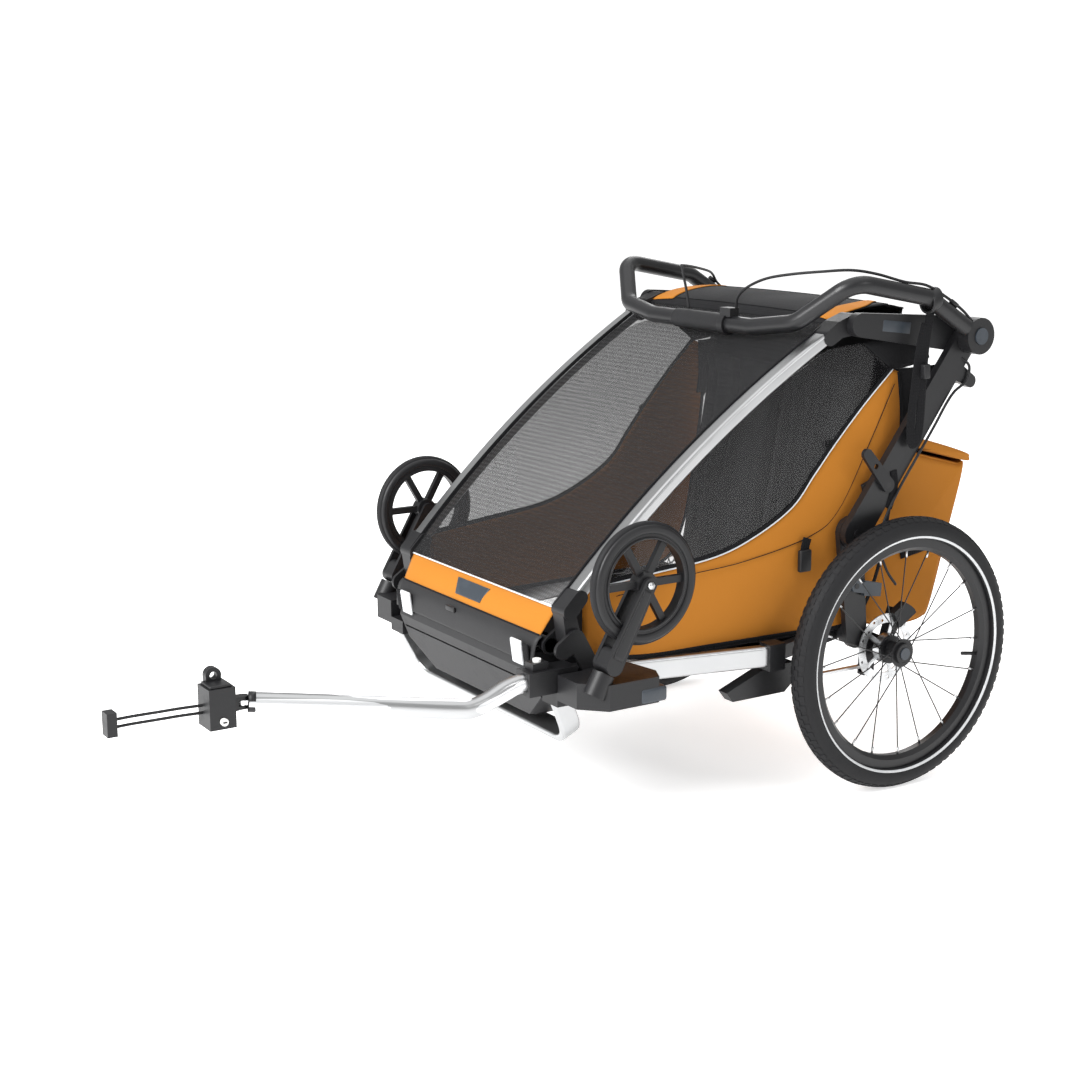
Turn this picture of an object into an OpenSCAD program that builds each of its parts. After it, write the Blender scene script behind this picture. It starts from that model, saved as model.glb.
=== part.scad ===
// Child bicycle trailer: a two-seat cabin on two spoked wheels, with a hitch arm, a
// flip-over handlebar, two stored stroller wheels and a frame that folds flat.
// The wheels' axle line is the working origin: X to the trailer's left, Y to its rear,
// Z up. The last step moves everything so that the tyres stand on Z = 0.

/* [Main wheels] */
// Outside diameter of a main tyre
wheel_d = 500; // [440:1:620]
// Width of a main tyre
tyre_w = 47; // [32:1:58]
// Rim's depth, from its outer edge to its inner edge
rim_h = 22; // [14:1:34]
// Tyre's height above the rim
tyre_h = 38; // [34:1:45]
// Width of the rim
rim_w = 27; // [20:1:30]
// Number of spokes in a main wheel
spokes = 20; // [12:2:32]
// Diameter of a spoke
spoke_d = 2.2; // [1.6:0.1:3]
// Diameter of the brake disc
rotor_d = 128; // [110:1:140]
// Diameter of the plug-in wheel axle
plug_d = 16; // [12:0.5:18]

/* [Frame] */
// Half width of the frame, to the inside of the rear uprights
frame_x = 306; // [270:1:370]
// Thickness of each rear upright
upright_t = 11.5; // [8:0.5:16]
// Thickness of each folding strut
strut_t = 14; // [10:0.5:18]
// Height of a side rail's section
rail_h = 38; // [28:1:46]
// Thickness of a side rail's section
rail_t = 20; // [14:1:24]
// Length from the wheel axle forward to the front pivots
front_reach = 652; // [600:1:740]
// Height of the top pivots above the wheel axle
top_height = 591; // [540:1:660]
// Width of a windscreen pillar
pillar_w = 32; // [22:1:34]
// Depth of a windscreen pillar
pillar_t = 22; // [14:1:26]
// How far a pillar bows outward between its ends
pillar_bow = 28; // [10:1:40]
// Radius of the round cross tubes
tube_r = 12; // [8:0.5:14]

/* [Handlebar] */
// Diameter of the handlebar tube
bar_d = 31; // [25:0.5:33]
// Radius of the handlebar's bends
bar_bend = 46; // [40:1:50]
// Length of the twisting brake sleeve
sleeve_l = 140; // [90:1:150]
// Wall of the brake sleeve
sleeve_wall = 2; // [1.5:0.5:4]
// Radius of the handlebar's pivot hubs
bar_hub_r = 33; // [28:1:36]

/* [Hitch] */
// Diameter of the arm's tube
arm_d = 30; // [22:1:34]
// Diameter of the bicycle axle that the hitch takes
bike_axle_d = 12; // [9:0.5:12]
// Length of each safety cord
cord_l = 140; // [110:1:180]

/* [Stroller wheels] */
// Diameter of a stroller wheel
caster_d = 196; // [160:1:220]
// Width of a stroller wheel
caster_w = 24; // [18:1:28]

/* [Soft parts] */
// Thickness of the fabric and mesh panels
cloth_t = 3; // [2:0.5:4]
// Thickness of the seat pads
pad_t = 36; // [20:1:44]
// Half width of the cargo bag
bag_x = 250; // [200:1:262]

/* [Fits] */
// Radial gap of a turning fit
run_gap = 0.05; // [0.02:0.01:0.08]
// Gap beside parts that slide past each other
side_gap = 0.5; // [0.3:0.1:1]
// Free play of the strut heads round their pins
head_play = 5; // [4.5:0.5:7]

/* [Hidden] */
$fn = 48;
e = 0.01;

// Layers across the width, from the cabin outward
upright_out = frame_x + upright_t;
strut_in = upright_out + 1;
strut_out = strut_in + strut_t;
strut_mid = (strut_in + strut_out) / 2;
tyre_gap = 10;
wheel_x = strut_out + tyre_gap + tyre_w / 2;
wheel_r = wheel_d / 2;
rim_out_r = wheel_r - tyre_h;
rim_in_r = rim_out_r - rim_h;
bracket_in = frame_x - 4.5;
bracket_out = strut_in - side_gap;
bar_hub_in = strut_out + side_gap;
bar_hub_t = 27;
bar_x = bar_hub_in + 15.5;
pillar_top_x = frame_x - 22;
pillar_low_x = frame_x - 42;
panel_rear_x = frame_x - 10;
panel_front_x = frame_x - 50;
cover_x = pillar_low_x - pillar_w / 2 - 5;

// Pivots of the folding frame, as [Y, Z] from the wheel axle
front_pivot = [-front_reach, 102];
top_pivot = [-80, top_height];
rear_pivot = [168, top_height - 29];
knee_pivot = [-86, 224];
beam_at = [-64, 31];
pin_r = 7;
front_pin_r = 6;
rear_pin_r = 8;

// A pillar's centre line: an arc from low to high
pillar_low = front_pivot + [-10, 46];
pillar_high = top_pivot + [-32, -7];
chord = pillar_high - pillar_low;
chord_l = norm(chord);
chord_u = chord / chord_l;
chord_n = [-chord_u[1], chord_u[0]];
arc_r = chord_l * chord_l / (8 * pillar_bow) + pillar_bow / 2;
arc_c = (pillar_low + pillar_high) / 2 - chord_n * (arc_r - pillar_bow);
arc_low = atan2(pillar_low[1] - arc_c[1], pillar_low[0] - arc_c[0]);
arc_high = atan2(pillar_high[1] - arc_c[1], pillar_high[0] - arc_c[0]);
pillar_splay = asin((pillar_top_x - pillar_low_x) / chord_l);

// Side rails, from the front bracket to the rear bracket, in plan
rail_z = 23;
rail_front = [frame_x - 58, -front_reach + 62, rail_z];
rail_rear = [frame_x + 12, -245, rail_z];

// Arm, hitch and stroller fork places
arm_x = 268 + frame_x - 306;
arm_z = 38;
arm_in = [arm_x, -front_reach - 4, arm_z];
arm_bend_a = [arm_x, -front_reach - 102, arm_z];
arm_bend_b = [arm_x - 2, -front_reach - 178, 10];
arm_front = [127, -1164, 40];
yaw_at = arm_front + unit(arm_front - arm_bend_b) * 10;
yaw_r = 5;
clevis_r = 9;
spigot_r = 8;
block_at = [118, -1214, 40];
block_size = [48, 44, 66];
caster_x = wheel_x + 2;
caster_at = [-front_reach + 76, 205];
fork_root = [-front_reach + 12, 88];
fork_u = [0, caster_at[0] - fork_root[0], caster_at[1] - fork_root[1]]
    / norm(caster_at - fork_root);
fork_out = caster_x + caster_w / 2 + 1;
fork_in = caster_x - caster_w / 2 - 1;
fork_leg_t = 7.5;
peg_r = 9;
peg_l = 32;

// Handlebar route, left half, from the hub to the middle
bar_r = bar_d / 2;
bar_mid_y = rear_pivot[0] - 356;
bar_mid_z = rear_pivot[1] + 18;
bar_route = [[bar_x, rear_pivot[0], rear_pivot[1]],
    [bar_x - 3, rear_pivot[0] - 122, rear_pivot[1] + 74],
    [bar_x - 9, rear_pivot[0] - 288, rear_pivot[1] + 106],
    [bar_x - 98, bar_mid_y + 14, bar_mid_z + 14],
    [bar_x - 200, bar_mid_y, bar_mid_z]];

// Lengths that set where the whole trailer stands
rear_most = 271;
front_most = block_at[1] - block_size[1] / 2;
y_shift = -(rear_most + front_most) / 2;

// ---- helpers ----
module placed() { translate([0, y_shift, wheel_r]) children(); }
module both() { children(); mirror([1, 0, 0]) children(); }
module side(s) { if (s > 0) children(); else mirror([1, 0, 0]) children(); }

// A profile drawn in [Y, Z] and thickened along X from x0 to x1
module plate(x0, x1) {
    translate([x0, 0, 0]) rotate([90, 0, 90]) linear_extrude(x1 - x0) children();
}
// A round bar along X at p = [Y, Z]
module pin(p, r, x0, x1) { plate(x0, x1) translate(p) circle(r); }
// A link plate with round ends at p and q, from x0 to x1
module link(x0, x1, p, q, rp, rq) {
    u = (q - p) / norm(q - p);
    n = [-u[1], u[0]];
    hp = n * (rp - 0.05);
    hq = n * (rq - 0.05);
    pin(p, rp, x0, x1);
    pin(q, rq, x0, x1);
    plate(x0, x1) polygon([p + hp, q + hq, q - hq, p - hp]);
}
// A rectangle with rounded corners, centred
module round_rect(w, h, r) {
    square([w - 2 * r, h], center = true);
    square([w, h - 2 * r], center = true);
    for (i = [-1, 1], j = [-1, 1])
        translate([i * (w / 2 - r), j * (h / 2 - r)]) circle(r);
}
function unit(v) = v / norm(v);
// Places +Z along a to b, with the local Y kept along n
module along(a, b, n) {
    u = unit(b - a);
    w = unit(cross(n, u));
    m = cross(u, w);
    multmatrix([[w[0], m[0], u[0], a[0]], [w[1], m[1], u[1], a[1]],
        [w[2], m[2], u[2], a[2]], [0, 0, 0, 1]]) children();
}
// A straight stretch of the 2D section children()
module stretch(a, b, n) { along(a, b, n) linear_extrude(norm(b - a)) children(); }
function turn(a, b, c) = acos(max(-1, min(1, unit(b - a) * unit(c - b))));
function setback(p, i, r) = i <= 0 || i >= len(p) - 1 ? 0
    : r * tan(turn(p[i - 1], p[i], p[i + 1]) / 2);
// One bend of radius r at b, on the way from a to c
module bend(a, b, c, r) {
    u = unit(b - a);
    v = unit(c - b);
    n = unit(cross(u, v));
    w = cross(n, u);
    o = b - u * (r * tan(turn(a, b, c) / 2)) + w * r;
    multmatrix([[-w[0], u[0], n[0], o[0]], [-w[1], u[1], n[1], o[1]],
        [-w[2], u[2], n[2], o[2]], [0, 0, 0, 1]])
        rotate_extrude(angle = turn(a, b, c), $fn = 96) translate([r, 0]) children();
}
// The section children() carried along a route with bends of radius r; n is the
// direction that the section's own Y keeps. Each bend is a hair larger than the
// straights, which run a little way into it.
bend_grow = 1.003;
bend_lap = 0.8;
module pipe(p, r, n) {
    m = len(p) - 1;
    for (i = [0 : m - 1]) {
        u = unit(p[i + 1] - p[i]);
        start = i == 0 ? 0 : setback(p, i, r) - bend_lap;
        stop = i == m - 1 ? 0 : setback(p, i + 1, r) - bend_lap;
        stretch(p[i] + u * start, p[i + 1] - u * stop, n) children();
    }
    for (i = [1 : m - 1]) bend(p[i - 1], p[i], p[i + 1], r) scale(bend_grow) children();
}
// A smooth curve through hand-placed points, n steps to each
function curve(a, b, c, d, t) = 0.5 * (2 * b + (c - a) * t
    + (2 * a - 5 * b + 4 * c - d) * t * t + (3 * b - a - 3 * c + d) * t * t * t);
function route(p, n) = [for (i = [0 : len(p) - 2]) for (k = [0 : n - 1])
    curve(p[max(i - 1, 0)], p[i], p[i + 1], p[min(i + 2, len(p) - 1)], k / n),
    p[len(p) - 1]];
// A cord: rings of 8 points swept along a route
module cord(points, r, n) {
    sides = 8;
    p = route(points, n);
    m = len(p);
    t = [for (i = [0 : m - 1]) unit(p[min(i + 1, m - 1)] - p[max(i - 1, 0)])];
    rings = [for (i = [0 : m - 1]) let (a = unit(cross(t[i], [0.31, 0.57, 0.76])),
        b = cross(t[i], a)) for (j = [0 : sides - 1])
        p[i] + r * (a * cos(j * 360 / sides) + b * sin(j * 360 / sides))];
    quads = [for (i = [0 : m - 2]) for (j = [0 : sides - 1])
        let (k = (j + 1) % sides, q = i * sides)
        each [[q + j, q + k, q + sides + j], [q + k, q + sides + k, q + sides + j]]];
    ends = [[for (j = [sides - 1 : -1 : 0]) j], [for (j = [0 : sides - 1]) (m - 1) * sides + j]];
    polyhedron(rings, [for (f = concat(quads, ends)) [for (i = [len(f) - 1 : -1 : 0]) f[i]]]);
}

// ---- chassis ----
module side_rails() {
    color("silver") placed() both()
        stretch(rail_front, rail_rear, [0, 0, 1]) round_rect(rail_t, rail_h, 6);
}

module front_crossbar() {
    color("dimgray") placed() pin([-front_reach - 24, 87], tube_r, -ear_x, ear_x);
}
ear_x = pillar_low_x - pillar_w / 2 - side_gap;
ear_t = 7;

hoop_top = [pillar_low_x + 6, -front_reach - 22, 6];
hoop_low = [pillar_low_x - 10, -front_reach + 18, -78];
module front_hoop() {
    flip = [-1, 1, 1];
    lower = [for (i = [0 : 2]) hoop_low[i] * flip[i]];
    upper = [for (i = [0 : 2]) hoop_top[i] * flip[i]];
    n = unit(cross(hoop_low - hoop_top, [1, 0, 0]));
    color("silver") placed() pipe([hoop_top, hoop_low, lower, upper], 45, n)
        round_rect(14, 38, 5);
}

// Moulded wing on each side: pillar ears, rail socket and stroller fork socket
wing_top = 50;
wing_low = 6;
module front_brackets() {
    y0 = -front_reach;
    color("black") placed() both() difference() {
        union() {
            // wing, in plan
            translate([0, 0, wing_low]) linear_extrude(wing_top - wing_low)
                polygon([[arm_x - 22, y0 + 12], [arm_x + 24, y0 + 12],
                    [arm_x + 24, y0 - 40], [fork_in - 6, y0 - 40],
                    [caster_x + 20, y0 - 2], [caster_x + 20, y0 + 96],
                    [caster_x - 12, y0 + 112], [arm_x - 34, y0 + 92], [arm_x - 34, y0 + 46]]);
            // shelf under the arm's receptacle, which also holds the hoop
            translate([arm_x - 22, y0 - 40, -6]) cube([46, 62, 25]);
            // socket for the stroller fork
            along(fork_base(-peg_l - 8), fork_base(0), [1, 0, 0]) cylinder(r = 19, h = peg_l + 8);
            // ears for the pillar's lower pivot
            for (x = [ear_x - ear_t, pillar_low_x + pillar_w / 2 + side_gap]) {
                link(x, x + ear_t, front_pivot, [y0 + 36, 40], 17, 16);
                link(x, x + ear_t, front_pivot, [y0 - 24, 87], 17, tube_r + 4);
            }
            pin(front_pivot, front_pin_r, ear_x - 1, pillar_low_x + pillar_w / 2 + 1);
        }
        along(fork_base(-peg_l), fork_base(1), [1, 0, 0]) cylinder(r = peg_r + run_gap, h = peg_l + 2);
        stretch(rail_front - (rail_rear - rail_front) * 0.02, rail_rear, [0, 0, 1])
            round_rect(rail_t + e, rail_h + e, 6);
    }
}
function fork_base(d) = [caster_x, fork_root[0], fork_root[1]] + fork_u * (d - 26);

// Open tub under the feet: a side outline met by a front outline
module tub(g) {
    y0 = -front_reach;
    intersection() {
        plate(-ear_x - 10, ear_x + 10) polygon([[y0 - 46 + g, 74], [y0 - 52 + g, 40],
            [y0 - 14 + g, -56 + g], [y0 + 4, -62 + g], [y0 + 70, -62 + g],
            [y0 + 128 - g, 8], [y0 + 128 - g, 20], [y0 + 20, 20], [y0 + 6, 74]]);
        rotate([90, 0, 0]) translate([0, 0, -y0 - 140]) linear_extrude(220)
            polygon([[-232 + g, 80], [-232 + g, -6], [-150 + g / 2, -66 + g],
                [150 - g / 2, -66 + g], [232 - g, -6], [232 - g, 80]]);
    }
}
module footwell() {
    color("dimgray") placed() difference() {
        tub(0);
        tub(4);
        translate([-228, -front_reach - 44, 16]) cube([456, 168, 60]);
    }
}

// Cross beam with the swing arms' stub axles and the rails' rear brackets
stub_r = 12;
swing_in = frame_x - 20;
swing_out = frame_x - 2;
leaf_w = 10;
leaf_x = swing_in + 4;
module axle_beam() {
    color("black") placed() {
        pin(beam_at, 16, -swing_in + side_gap, swing_in - side_gap);
        both() {
            pin(beam_at, stub_r, swing_in - side_gap - 1, upright_out);
            along([frame_x - 44, beam_at[0] + 2, rail_z + 5], rail_rear + [-6, -12, 0], [0, 0, 1])
                translate([-8, -13, 0]) cube([16, 26, norm(rail_rear + [-6, -12, 0]
                    - [frame_x - 44, beam_at[0] + 2, rail_z + 5])]);
            difference() {
                translate([frame_x - 6, rail_rear[1] - 30, rail_z - rail_h / 2 - 6])
                    cube([30, 34, rail_h + 10]);
                stretch(rail_front, rail_rear, [0, 0, 1]) round_rect(rail_t + e, rail_h + e, 6);
            }
            // skid under the rail, which also holds the leaf spring
            plate(frame_x - 22, frame_x + 2) polygon([[-352, -34], [-338, -52], [-222, -52],
                [-196, -30], [-200, 0], [-262, 0]]);
        }
    }
}

module leaf_springs() {
    color("silver") placed() both()
        translate([leaf_x, -214, -40]) cube([leaf_w, 206, 5]);
}

module uprights() {
    color("black") placed() both() difference() {
        union() {
            link(frame_x, upright_out, beam_at, knee_pivot, 24, 28);
            pin(knee_pivot, pin_r, frame_x, strut_out + 2);
            // pin for the parking pedal
            pin(pedal_at, 5, upright_out - 1, upright_out + 12);
        }
        pin(beam_at, stub_r, frame_x - 1, upright_out + 1);
    }
}

pedal_at = [-78, 126];
module parking_pedal() {
    color("slategray") placed() difference() {
        union() {
            link(upright_out + 1, upright_out + 11, pedal_at, pedal_at + [34, -10], 11, 9);
            plate(upright_out + 1, upright_out + 11) polygon([pedal_at + [20, 8],
                pedal_at + [60, -2], pedal_at + [58, -26], pedal_at + [18, -20]]);
        }
        pin(pedal_at, 5 + run_gap, upright_out, upright_out + 12);
    }
}

// ---- cabin ----
module cabin_floor() {
    color("dimgray") placed()
        translate([-arm_x + 26, -front_reach + 132, 4])
            cube([2 * arm_x - 52, front_reach - 132 - 88, 4]);
}

module seat_base() {
    color("darkslategray") placed() for (s = [-1, 1])
        translate([s * 116 - 112, -340, 9]) cube([224, 250, pad_t]);
}

module seat_back() {
    color("darkslategray") placed() for (s = [-1, 1])
        plate(s * 116 - 112, s * 116 + 112)
            polygon([[-78, 50], [-78 + pad_t, 50], [40, 500], [40 - pad_t, 500]]);
}

// Shoulder straps and buckle of each seat
module harness() {
    color("black") placed() for (s = [-1, 1]) {
        for (k = [-1, 1]) plate(s * 116 + k * 42 - 14, s * 116 + k * 42 + 14)
            polygon([[-82, 60], [-86, 60], [-34, 430], [-30, 430]]);
        translate([s * 116 - 30, -80, 150]) cube([60, 14, 50]);
    }
}

function on_arc(a, d) = arc_c + (arc_r + d) * [cos(a), sin(a)];
panel_steps = 8;
module side_outline() {
    edge = pillar_t / 2 + 6;
    polygon(concat([[-front_reach + 34, 56], [-100, 54], [-34, 56], [10, 170], [44, 396],
        [46, 446], [104, 520], [96, 540], [60, 556], [-40, 560]],
        [for (i = [0 : panel_steps])
            on_arc(arc_high + (arc_low - arc_high) * (0.04 + 0.86 * i / panel_steps), -edge)]));
}
module side_panels() {
    splay = atan((panel_rear_x - panel_front_x) / (front_reach + 110));
    color("orange") placed() both() translate([panel_rear_x, 110, 0]) rotate([0, 0, -splay])
        translate([0, -110, 0]) plate(-cloth_t, 0) side_outline();
}

module front_cover() {
    color("gray", 0.6) placed() {
        translate([-cover_x + 1, 0, 0]) rotate([90, 0, 90]) translate(arc_c) rotate([0, 0, arc_high])
            rotate_extrude(angle = (arc_low - arc_high) * 0.985, $fn = 720)
                translate([arc_r, 0]) square([cloth_t, 2 * cover_x - 2]);
        // orange strip below the mesh
        plate(-cover_x + 10, cover_x - 10) polygon([pillar_low + [-5, -3], pillar_low + [-8.5, -3],
            [-front_reach - 40.5, 104], [-front_reach - 37, 102]]);
    }
}

module roof() {
    color("dimgray") placed() plate(22 - pillar_top_x, pillar_top_x - 22)
        polygon([[-108, 600], [-60, 615], [20, 621], [66, 612], [66, 609], [20, 618], [-60, 612],
            [-106, 597]]);
}

module back_panel() {
    color("dimgray") placed() plate(-pillar_top_x + 18, pillar_top_x - 18)
        polygon([[66, 604], [66 + cloth_t, 604], [-30 + cloth_t, 60], [-30, 60]]);
}

bag_outline = [[-8, 40], [20, 22], [120, 8], [172, 14], [188, 38], [262, 306], [110, 346], [62, 346]];
module cargo_bag() {
    color("orange") placed() difference() {
        plate(-bag_x, bag_x) polygon(bag_outline);
        plate(-bag_x + cloth_t, bag_x - cloth_t) polygon([[-2, 42], [22, 26], [120, 12], [169, 18],
            [184, 40], [258, 304], [258, 330], [110, 360], [66, 360]]);
    }
}
lid_hinge = [64, 352];
module bag_lid() {
    color("orange") placed() plate(-bag_x, bag_x) polygon([[58, 349], [110, 348.5], [263, 308.5],
        [271, 318], [266, 324], [136, 368], [64, 372]]);
}

// ---- folding frame ----
module pillars() {
    color("silver") placed() both() translate([pillar_low_x, pillar_low[0], pillar_low[1]])
        rotate(a = -pillar_splay, v = [0, chord_n[0], chord_n[1]])
            translate([0, -pillar_low[0], -pillar_low[1]]) rotate([90, 0, 90])
                translate(arc_c) rotate([0, 0, arc_high])
                    rotate_extrude(angle = arc_low - arc_high, $fn = 720)
                        translate([arc_r, 0]) round_rect(pillar_t, pillar_w, 6);
}

sleeve_t = 3;
module pillar_knuckles() {
    low_in = pillar_low_x - pillar_w / 2;
    low_out = pillar_low_x + pillar_w / 2;
    high_in = pillar_top_x - pillar_w / 2;
    high_out = bracket_in - side_gap;
    color("black") placed() {
        both() {
            difference() {
                union() {
                    link(low_in, low_out, front_pivot, pillar_low, 15, 12);
                    link(low_in - sleeve_t, low_out + sleeve_t + 1, pillar_low + chord_u * 2,
                        pillar_low + chord_u * 30 + chord_n * 4, 14, 13.5);
                }
                pin(front_pivot, front_pin_r + run_gap, low_in - 1, low_out + 1);
            }
            difference() {
                union() {
                    link(high_in - sleeve_t, high_out, pillar_high - chord_u * 26 + chord_n * 3,
                        pillar_high, 14, 15);
                    link(high_in - sleeve_t, high_out, pillar_high, top_pivot, 15, 19);
                }
                pin(top_pivot, pin_r + run_gap, high_out - 20, high_out + 1);
            }
        }
        pin(pillar_high + [8, -12], 8, -high_in - 1, high_in + 1);
    }
}

module top_brackets() {
    color("black") placed() {
        both() {
            link(bracket_in, bracket_out, top_pivot, rear_pivot, 21, bar_hub_r);
            pin(top_pivot, pin_r, bracket_in - side_gap - 19, bracket_in + 1);
            pin(rear_pivot, rear_pin_r, bracket_out - 1, strut_out - head_wall - 1);
        }
        pin([42, rear_pivot[1] + 24], 8, -bracket_in - 1, bracket_in + 1);
    }
}

head_hole = rear_pin_r + head_play;
head_wall = 3;
cross_at = rear_pivot + [8, -84];
// Each strut's head takes the bracket's pin in a blind hole, and carries the handlebar's pin outside
module struts() {
    u = unit(rear_pivot - knee_pivot);
    color("dimgray") placed() {
        both() difference() {
            union() {
                link(strut_in, strut_out, knee_pivot, rear_pivot, 28, head_hole + 12);
                link(strut_in, strut_out, rear_pivot - u * 70, cross_at, 18, 12);
                pin(lever_at, 5, strut_out - 1, strut_out + 8);
                pin(rear_pivot, rear_pin_r, strut_out - 1, bar_hub_in + 8);
            }
            pin(knee_pivot, pin_r + run_gap, strut_in - 1, strut_out + 3);
            pin(rear_pivot, head_hole, strut_in - 1, strut_out - head_wall);
        }
        pin(cross_at, 8, -strut_in - 1, strut_in + 1);
    }
}

lever_at = [-22, 306];
module lock_lever() {
    tip = lever_at + [-52, 60];
    color("black") placed() difference() {
        link(strut_out + side_gap, strut_out + 8, lever_at, tip, 13, 10);
        pin(lever_at, 5 + run_gap, strut_out, strut_out + 9);
        pin(lever_at + [-32, 37], 5, strut_out, strut_out + 9);
    }
}
module left_lock_lever() { lock_lever(); }
module right_lock_lever() { mirror([1, 0, 0]) lock_lever(); }

// ---- handlebar ----
module handlebar() {
    n = len(bar_route) - 1;
    path = concat(bar_route, [for (i = [n : -1 : 0]) let (p = bar_route[i]) [-p[0], p[1], p[2]]]);
    color("black") placed() difference() {
        pipe(path, bar_bend, [0, 0.6, 0.8]) circle(bar_r);
        both() pin(rear_pivot, bar_hub_r, bar_hub_in - 2, bar_hub_in + bar_hub_t + 9);
    }
}

module handlebar_fittings() {
    clamp_x = sleeve_l / 2 + 1;
    color("black") placed() {
        both() difference() {
            pin(rear_pivot, bar_hub_r, bar_hub_in, bar_hub_in + bar_hub_t);
            pin(rear_pivot, rear_pin_r + run_gap, bar_hub_in - 1, bar_hub_in + 9);
            pin(rear_pivot, button_r + 0.4, bar_hub_in + bar_hub_t - 6, bar_hub_in + bar_hub_t + 1);
        }
        // ring and cable block beside the twisting sleeve
        difference() {
            union() {
                pin([bar_mid_y, bar_mid_z], bar_r + 5, clamp_x, clamp_x + 16);
                translate([clamp_x, bar_mid_y - 12, bar_mid_z + 14]) cube([30, 20, 16]);
            }
            pin([bar_mid_y, bar_mid_z], bar_r, clamp_x - 1, clamp_x + 31);
        }
    }
}

button_r = 15;
module handlebar_button() {
    color("slategray") placed()
        pin(rear_pivot, button_r, bar_hub_in + bar_hub_t - 2.5, bar_hub_in + bar_hub_t + 2.5);
}
module left_handlebar_button() { handlebar_button(); }
module right_handlebar_button() { mirror([1, 0, 0]) handlebar_button(); }

module brake_sleeve() {
    color("black") placed() difference() {
        pin([bar_mid_y, bar_mid_z], bar_r + run_gap + sleeve_wall, -sleeve_l / 2, sleeve_l / 2);
        pin([bar_mid_y, bar_mid_z], bar_r + run_gap, -sleeve_l / 2 - 1, sleeve_l / 2 + 1);
    }
}

// Brake cables: up from the sleeve's block and along each leg to the hub
cable_r = 2.5;
upper_left = [[98, -184, 608], [112, -190, 640], [150, -196, 664], [215, -194, 684],
    [280, -176, 695], [322, -140, 698], [340, -90, 694], [347, -20, 686], [349, 50, 664],
    [350, 100, 642], [352, 140, 618], [352, 156, 586]];
upper_right = [[76, -184, 608], [70, -188, 650], [20, -196, 690], [-20, -192, 702],
    [-90, -184, 690], [-180, -180, 692], [-280, -168, 696], [-322, -136, 698], [-340, -90, 694],
    [-347, -20, 686], [-349, 50, 664], [-350, 100, 642], [-352, 140, 618], [-352, 156, 586]];
module upper_cables() {
    color("black") placed() {
        cord(upper_left, cable_r, 3);
        cord(upper_right, cable_r, 3);
    }
}

// From each strut's head, in a small loop, and down the strut to the brake
lower_left = [[331, 150, 522], [336, 166, 506], [336, 160, 480], [336, 132, 462], [336, 112, 440],
    [336, 84, 400], [336, 42, 344], [336, 4, 292], [336, -26, 240], [335, -34, 196], [334, -14, 150],
    [330, 14, 118]];
module lower_cables() {
    color("black") placed() both() cord(lower_left, cable_r, 3);
}

strap_w = 22;
module wrist_strap() {
    color("black") placed() translate([bar_x - 4 - strap_w / 2, 0, 0]) plate(0, strap_w) difference() {
        polygon([[52, 614], [60, 614], [48, 500], [46, 380], [20, 376], [14, 400], [24, 500], [34, 560]]);
        polygon([[47, 560], [43, 500], [41, 386], [23, 382], [19, 402], [29, 500], [36, 556]]);
    }
}

// ---- wheels ----
hub_in = strut_out + 6;
carrier_out = hub_in - side_gap;
rotor_x = upright_out + 5;
rotor_t = 2;
plug_r = plug_d / 2;
bearing_r = plug_r + 4;
cap_out = wheel_x + 10;
hub_button_r = 11;

module swing_arm() {
    boss_out = rotor_x - 3;
    color("dimgray") placed() {
        difference() {
            union() {
                link(swing_in, swing_out, beam_at, [0, 0], stub_r + 7, bearing_r + 6);
                pin([0, 0], bearing_r + 7, swing_in, boss_out);
                // lug that holds the leaf spring's tail
                plate(swing_in, swing_out) polygon([[-30, 0], [-30, -54], [-6, -54], [-6, -10]]);
                // arm that carries the brake
                plate(swing_out - 6, boss_out) polygon([[8, 14], [26, 70], [52, 62], [18, 0]]);
            }
            pin(beam_at, stub_r + run_gap, swing_in - 1, swing_out + 1);
            pin([0, 0], bearing_r + run_gap, swing_in - 1, boss_out + 1);
            translate([leaf_x - 0.5, -31, -49.5]) cube([leaf_w + 1, 30, 18]);
        }
        // brake: two pads' housings and a bridge over the disc's edge
        difference() {
            plate(boss_out - 1, rotor_x + rotor_t + 9) intersection() {
                translate([38, 62]) rotate(32) square([44, 34], center = true);
                circle(90);
            }
            pin([0, 0], rotor_d / 2 + 2.5, rotor_x - 0.8, rotor_x + rotor_t + 0.8);
        }
    }
}
module left_swing_arm() { swing_arm(); }
module right_swing_arm() { mirror([1, 0, 0]) swing_arm(); }

module rotor() {
    color("silver") placed() difference() {
        union() {
            plate(rotor_x, rotor_x + rotor_t) {
                difference() {
                    circle(rotor_d / 2);
                    circle(rotor_d / 2 - 17);
                    for (i = [0 : 17]) rotate(i * 20)
                        translate([rotor_d / 2 - 6 - 5 * (i % 2), 0]) circle(2.6);
                }
                for (i = [0 : 4]) rotate(i * 72) translate([18, -4]) square([rotor_d / 2 - 30, 8]);
            }
            pin([0, 0], 28, rotor_x - 0.5, carrier_out);
            pin([0, 0], bearing_r, swing_in + 4, rotor_x);
        }
        pin([0, 0], plug_r + run_gap, swing_in, carrier_out + 1);
    }
}
module left_rotor() { rotor(); }
module right_rotor() { mirror([1, 0, 0]) rotor(); }

module hub() {
    color("black") placed() difference() {
        union() {
            pin([0, 0], plug_r, swing_in + 8, hub_in + 1);
            pin([0, 0], 16, hub_in, cap_out - 4);
            pin([0, 0], flange_r, flange_a, flange_a + flange_t);
            pin([0, 0], flange_r, flange_b, flange_b + flange_t);
            pin([0, 0], 19, flange_b, cap_out);
        }
        pin([0, 0], hub_button_r + 0.3, cap_out - 6, cap_out + 1);
    }
}
flange_r = 26;
flange_t = 3;
flange_a = hub_in;
flange_b = wheel_x + 1;
module left_hub() { hub(); }
module right_hub() { mirror([1, 0, 0]) hub(); }

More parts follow.
